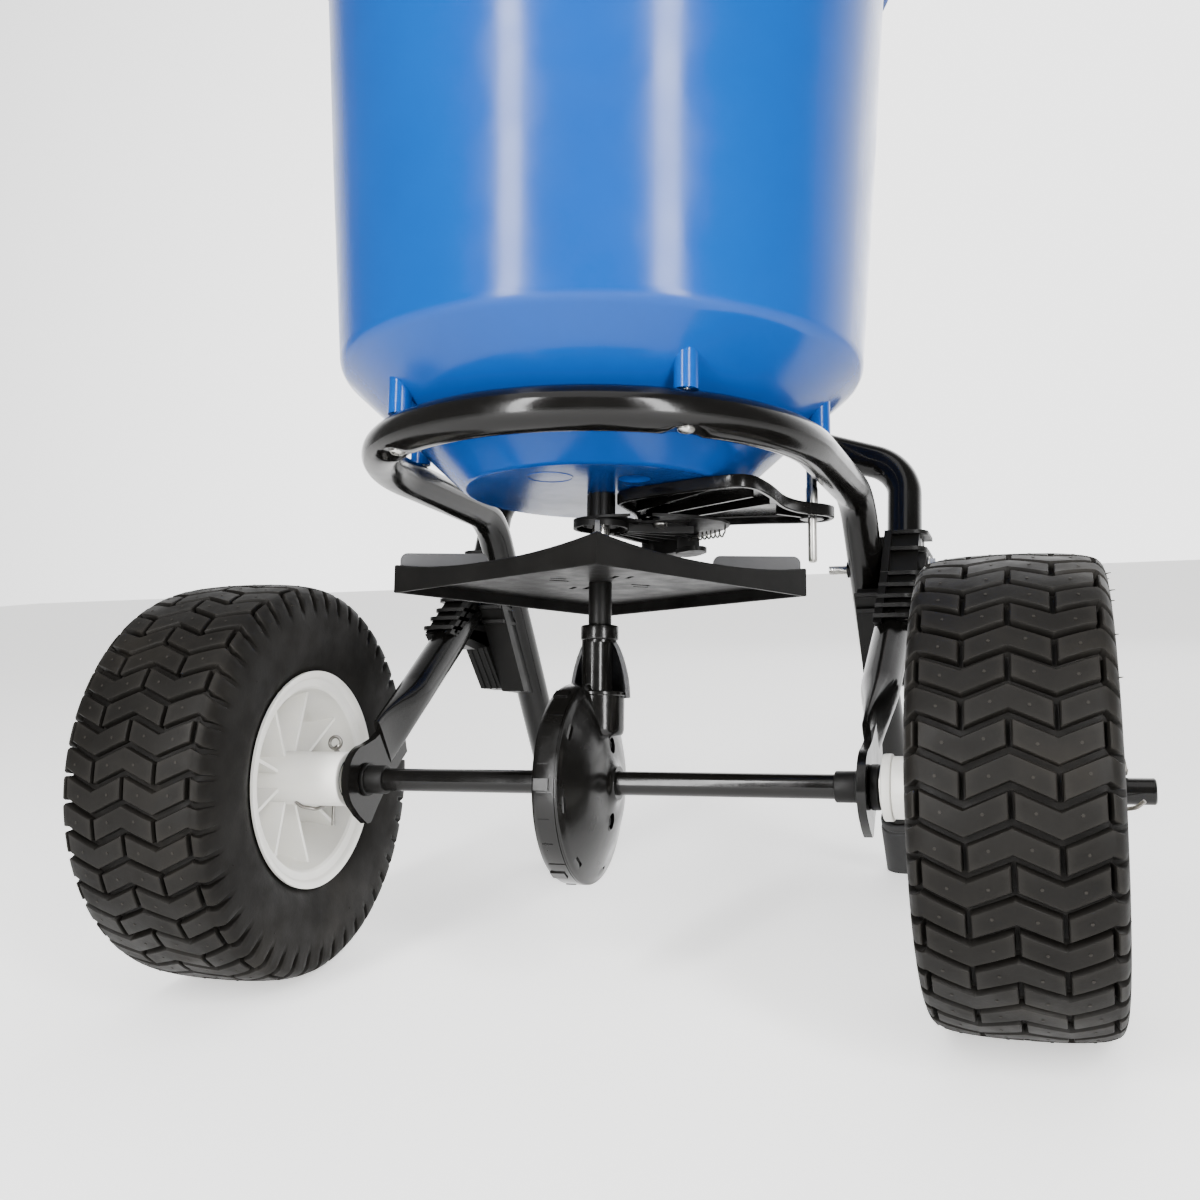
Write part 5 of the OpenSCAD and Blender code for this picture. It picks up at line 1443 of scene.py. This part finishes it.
def make_crossbar():
    """Cross bar with its saddles, bolts, grips and end caps."""
    bar = frame_at((0, BAR_AT.y, BAR_AT.z), (1, 0, 0), UP)
    lengthwise = bar @ along("x")
    tube = Shape().rod(BAR_R, -BAR_LEN / 2, BAR_LEN / 2, lengthwise, bore=BAR_R - 1.5, steps=56)
    piece("cross_bar", tube, "frame", "gloss_black_paint", ["handlebar"])

    saddles = Shape()
    for s in (-1, 1):
        m = bar @ Matrix.Translation((s * HIP.x, 0, 0))
        saddles.rod(BAR_R + 4, -20, 20, m @ along("x"), bore=BAR_R + 0.06, edge=1.6, steps=56)
        for x in (-12, 0, 12):
            saddles.rod(BAR_R + 4.0, x - 1.1, x + 1.1, m @ along("x"), bore=BAR_R + 1, edge=0.5, steps=56)
        saddles.rod(TUBE_R + 4, -46, -BAR_R, m, bore=TUBE_R + 0.06, edge=1.4, steps=56)
        for a in range(0, 360, 45):
            rib = m @ Matrix.Rotation(math.radians(a + 22.5), 4, "Z")
            saddles.block((TUBE_R + 3, TUBE_R + 4.0), (-1, 1), (-42, -BAR_R - 3), rib)
    piece("saddle_pair", saddles, "frame", "black_plastic", ["bar_saddles"])

    bolts = Shape()
    for s in (-1, 1):
        m = bar @ Matrix.Translation((s * HIP.x, 0, -32)) @ Matrix.Rotation(math.pi / 2, 4, "X")
        bolts.rod(2.5, -TUBE_R - 8.8, TUBE_R + 4.6, m, steps=24)
        bolts.join(pan_head(4.8, 3.2), m @ Matrix.Translation((0, 0, TUBE_R + 4.3)))
        bolts.join(hex_nut(4.6, 4.0, m @ Matrix.Translation((0, 0, -TUBE_R - 8.1))))
    piece("saddle_bolt_pair", bolts, "frame", "zinc_steel", ["saddle_bolts"])

    rnd = random.Random(11)
    for label, s in (("right", 1), ("left", -1)):
        x0, x1 = 112.0, BAR_LEN / 2 - 3
        skin = [(x1, 14.2), (x1 - 0.6, 16.0), (x1 - 2.2, 17.1)]
        for k in range(1, 24):
            skin.append((x1 - 2.2 - (x1 - x0 - 4.4) * k / 24, 17.28 + rnd.uniform(-0.1, 0.1)))
        skin += [(x0 + 2.2, 17.1), (x0 + 0.6, 16.0), (x0, 14.2)]
        outline = [(BAR_R + 0.06, x0), (BAR_R + 0.06, x1)] + [(r, x) for x, r in skin]
        side = bar @ (Matrix.Identity(4) if s > 0 else Matrix.Rotation(math.pi, 4, "Z")) @ along("x")
        grip = Shape().lathe(outline, side, steps=72)
        piece(f"foam_grip_{label}", grip, "frame", "foam_grip", [f"grip_{label}"])

    caps = Shape()
    for s in (1, -1):
        side = bar @ (Matrix.Identity(4) if s > 0 else Matrix.Rotation(math.pi, 4, "Z")) @ along("x")
        outline = [(r, BAR_LEN / 2 + h) for r, h in ((0.4, 4), (7, 3.9), (11.4, 3.2), (12.5, 1.8), (12.7, 0.15),
                                                     (11.0, 0.15), (11.0, -14), (0.4, -14))]
        caps.stack(outline, side, 48)
    piece("bar_end_caps", caps, "frame", "rubber", ["bar_caps"])


def make_feet():
    """Rubber boots on the rear legs, cut flat where they stand on the floor."""
    down = (LEG_END - HOOP_CORNER).normalized()
    skin = [(11.06, 0.2), (11.06, -34), (12.4, -34), (13.2, -33.3), (13.5, -32), (13.5, -29.4), (12.9, -28.6),
            (12.9, -27.4), (13.6, -26.6), (14, -24), (14, 18), (13.4, 21.5), (11.6, 23.4), (9, 24)]
    boot = Shape().stack(skin, frame_at(LEG_END, (1, 0, 0), down), 56)
    floor_cut = PARK.inverted() @ Matrix.Translation((0, 250, -50))
    boot.cut(Shape().block((-300, 300), (-300, 300), (-50, 50), floor_cut))
    for label, m in (("right", None), ("left", MIRROR)):
        piece(f"rubber_foot_{label}", Shape().join(boot, m), "frame", "rubber", [f"foot_{label}"])


# ---------------------------------------------------------------------------
# Shut-off control
# ---------------------------------------------------------------------------
LEVER_LEAN = 15.0
LEVER_ARM = 67.0
LEVER_X = (89.8, 92.8)
BRACKET_X = (86.2, 89.2)
PIVOT = HIP + 500 * UP + 12 * FRONT
ROD_PIN = PIVOT + LEVER_ARM * Vector((0, -math.sin(math.radians(LEVER_LEAN)), math.cos(math.radians(LEVER_LEAN))))
ROD_R = 3.2
LEVER_LEN = 178
STOP_R = 96
STOP_REST = 25.0


def make_rod():
    """Bent control rod from the gate to the lever, with its push-on cap."""
    bend_y = 118
    bend_z = ROD_PIN.z - (ROD_PIN.y - bend_y) * math.tan(HANDLE_SLOPE)
    x, y = ROD_EYE
    path = [Vector((x, y, 276)), Vector((x, y, 305)), Vector((x, bend_y, bend_z)), Vector((x, ROD_PIN.y, ROD_PIN.z)),
            Vector((81, ROD_PIN.y, ROD_PIN.z))]
    rod = Shape().pipe(route(path, [12, 20, 8], 6), ROD_R, 28)
    foot = [(1.4, 240), (2.2, 240.5), (2.6, 241.6), (2.6, GATE_TOP + 0.6), (3.4, GATE_TOP + 1.2), (3.6, GATE_TOP + 2),
            (3.6, GATE_TOP + 11), (3.2, GATE_TOP + 12.4)]
    rod.stack(foot, Matrix.Translation((x, y, 0)), 32)
    piece("shutoff_rod", rod, "rod", "zinc_steel", ["control_rod"])
    cap = Shape()
    at = along("x", (0, ROD_PIN.y, ROD_PIN.z))
    cap.rod(5.2, 79.6, 84.9, at, bore=3.3, edge=0.9, steps=40)
    cap.rod(4.4, 79.5, 80.6, at, edge=0.4, steps=40)
    piece("rod_end_cap", cap, "rod", "rubber", ["rod_cap"])


def pivot_frame(angle=0.0):
    """Local X is +X and local Z points away from the pivot, leaning back by the angle."""
    return Matrix.Translation((0, PIVOT.y, PIVOT.z)) @ Matrix.Rotation(math.radians(-angle), 4, "X")


def make_lever():
    """Flat shut-off lever with a wide eye round the rod and a ball on top."""
    m = pivot_frame(-LEVER_LEAN)
    outline = arc((0, 0), 10, 200, 340, 12) + [(8, 8), (8, LEVER_ARM - 9)] + arc((0, LEVER_ARM), 11, -46, 46, 8)
    outline += [(8, LEVER_LEN), (-8, LEVER_LEN)] + arc((0, LEVER_ARM), 11, 134, 226, 8) + [(-8, 8)]
    lever = Shape().prism(outline, *LEVER_X)
    slot = [(-4.75, LEVER_ARM - 6.5), (4.75, LEVER_ARM - 6.5), (4.75, LEVER_ARM + 6.5), (-4.75, LEVER_ARM + 6.5)]
    lever.cut(Shape().rod(3.06, 80, 100, steps=32), Shape().prism(slot, 80, 100))
    piece("shutoff_lever", Shape().join(lever, m @ SIDE_VIEW), "lever", "gloss_black_paint", ["lever"])
    mid = (LEVER_X[0] + LEVER_X[1]) / 2
    profile = [(8.2, LEVER_LEN - 25.6), (9.2, LEVER_LEN - 25.2), (9.8, LEVER_LEN - 23.4), (9.4, LEVER_LEN - 18),
               (8.6, LEVER_LEN - 8), (9.2, LEVER_LEN + 2)]
    profile += [(14 * math.sin(math.radians(a)), LEVER_LEN + 18 - 14 * math.cos(math.radians(a)))
                for a in range(48, 176, 9)]
    ball = Shape().stack(profile, steps=56)
    ball.cut(Shape().block((LEVER_X[0] - mid - 0.1, LEVER_X[1] - mid + 0.1), (-8.1, 8.1),
                           (LEVER_LEN - 60, LEVER_LEN + 0.1)))
    piece("lever_ball", Shape().join(ball, m @ Matrix.Translation((mid, 0, 0))), "lever", "red_plastic", ["lever_knob"])


def make_stop():
    """Adjustable rate stop with its thumb nut."""
    m = pivot_frame(STOP_REST) @ Matrix.Translation((0, 0, STOP_R)) @ along("x")
    x1 = 93.6
    stop = Shape().rod(5.5, BRACKET_X[1] + 0.3, x1, m, edge=0.5, steps=36)
    stop.rod(2.7, BRACKET_X[0] - 3, x1 + 1, m, steps=24)
    stop.join(threaded_rod(2.7, x1 + 0.5, x1 + 8, m, 0.8, 0.25))
    stop.rod(6, BRACKET_X[0] - 3.4, BRACKET_X[0] - 0.35, m, edge=0.7, steps=36)
    piece("rate_stop_bolt", stop, "rate_stop", "zinc_steel", ["rate_stop"])
    nut = Shape().rod(7, x1 + 0.15, x1 + 8.9, m, bore=2.76, edge=1.0, steps=44)
    wing = smooth_outline([(4, -2.6), (9, -3), (12.9, -2.4), (12.9, 2.6), (9, 3), (4, 2.6)])
    for s in (0, 180):
        nut.prism(wing, x1 + 3, x1 + 8.8, m @ Matrix.Rotation(math.radians(s), 4, "Z"))
    for k in range(10):
        spin = Matrix.Rotation(math.radians(36 * k + 18), 4, "Z")
        nut.rod(0.6, x1 + 1.2, x1 + 7.8, m @ spin @ Matrix.Translation((6.5, 0, 0)), steps=8)
    piece("rate_stop_nut", nut, "rate_stop", "black_plastic", ["stop_screw"])


def make_control_fasteners():
    """Pivot of the lever and the bolts of its bracket."""
    at = pivot_frame() @ along("x")
    pivot = Shape().rod(3, 84, 97.9, at, steps=32, edge=0.5)
    pivot.rod(5, LEVER_X[1] + 0.35, LEVER_X[1] + 3.9, at, edge=0.6, steps=36)
    pivot.join(hex_nut(4.9, 2.0, at @ Matrix.Translation((0, 0, 84.05))))
    piece("lever_pivot_bolt", pivot, "frame", "zinc_steel", ["lever_pivot"])
    bolts = Shape()
    for t in (478, 522):
        m = handle_frame(t) @ along("x")
        bolts.rod(2.5, -TUBE_R - 4.8, BRACKET_X[1] - HIP.x + 0.3, m, steps=24)
        bolts.join(hex_nut(4.6, 3.8, m @ Matrix.Translation((0, 0, -TUBE_R - 4.1))))
    piece("bracket_bolt_pair", bolts, "frame", "zinc_steel", ["bracket_bolts"])


# ---------------------------------------------------------------------------
# CAD nodes that stay, with finished materials
# ---------------------------------------------------------------------------
def finish_cad_nodes():
    """Materials for the CAD nodes that stay in the visual model."""
    kept = {"lever_bracket": "gloss_black_paint", "ring_gear": "gear_nylon", "ring_gear_pin": "zinc_steel",
            "pinion": "gear_nylon", "spinner_shaft": "zinc_steel", "impeller_pin": "zinc_steel"}
    for name, material in kept.items():
        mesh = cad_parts[name].data
        mesh.materials.clear()
        mesh.materials.append(MAT[material])


make_wheels()
make_hoop()
make_lower_tubes()
make_clamps()
make_clamp_bolts()
make_axle_group()
make_axle()
make_pins()
make_hopper()
make_gate()
make_gate_guide()
make_gearbox()
make_impeller()
make_handle()
make_crossbar()
make_feet()
make_rod()
make_lever()
make_stop()
make_control_fasteners()
finish_cad_nodes()


# ---------------------------------------------------------------------------
# Camera, light and floor
# ---------------------------------------------------------------------------
def make_camera():
    """The photograph's viewpoint: low in front, to the right, looking up and to the left."""
    data = bpy.data.cameras.new("camera")
    data.sensor_width = 36.0
    data.lens = 38.1
    data.shift_x = -0.0208
    data.shift_y = -0.0333
    data.clip_start = 0.01
    cam = bpy.data.objects.new("camera", data)
    scene.collection.objects.link(cam)
    yaw, pitch, roll = math.radians(-18.83), math.radians(8.71), math.radians(0.47)
    forward = Vector((math.sin(yaw) * math.cos(pitch), math.cos(yaw) * math.cos(pitch), math.sin(pitch)))
    right = Vector((math.cos(yaw), -math.sin(yaw), 0))
    up = right.cross(forward)
    right, up = math.cos(roll) * right + math.sin(roll) * up, math.cos(roll) * up - math.sin(roll) * right
    m = Matrix((right, up, -forward)).transposed().to_4x4()
    m.translation = Vector((236.43, -651.74, 129.43))
    placed = PARK @ m
    placed.translation = placed.translation / 1000
    cam.matrix_world = placed
    scene.camera = cam


def area_light(name, at, target, size, power):
    """A rectangular lamp aimed at a point; places in metres."""
    data = bpy.data.lights.new(name, "AREA")
    data.shape = "RECTANGLE"
    data.size, data.size_y = size
    data.energy = power
    obj = bpy.data.objects.new(name, data)
    aim = Vector(target) - Vector(at)
    obj.matrix_world = frame_at(at, aim.cross(Vector((0, 0, 1))), -aim)
    scene.collection.objects.link(obj)


def make_stage():
    """Bright studio surroundings, two strips, two fills and the floor."""
    world = bpy.data.worlds.new("studio")
    world.use_nodes = True
    tree = world.node_tree
    back = tree.nodes["Background"]
    back.inputs["Color"].default_value = (1, 1, 1, 1)
    direction = tree.nodes.new("ShaderNodeTexCoord")
    split = tree.nodes.new("ShaderNodeSeparateXYZ")
    bright = tree.nodes.new("ShaderNodeMapRange")
    tree.links.new(direction.outputs["Generated"], split.inputs[0])
    tree.links.new(split.outputs["Y"], bright.inputs["Value"])
    for socket, value in (("From Min", 0.35), ("From Max", 0.85), ("To Min", 0.25), ("To Max", 3.2)):
        bright.inputs[socket].default_value = value
    tree.links.new(bright.outputs["Result"], back.inputs["Strength"])
    scene.world = world
    area_light("strip_left", (-0.38, -1.25, 0.75), (0, 0, 0.4), (0.2, 1.5), 42)
    area_light("strip_right", (1.04, -0.98, 0.75), (0, 0, 0.4), (0.24, 1.5), 46)
    area_light("top_fill", (0.0, -0.6, 2.0), (0, 0, 0.2), (1.6, 1.6), 16)
    area_light("back_fill", (0.3, 1.7, 1.1), (0, 0, 0.3), (1.6, 1.2), 10)
    bpy.ops.mesh.primitive_plane_add(size=14, location=(0, 0, 0))
    floor = bpy.context.object
    floor.name = "floor"
    floor.data.materials.append(MAT["floor"])


make_camera()
make_stage()
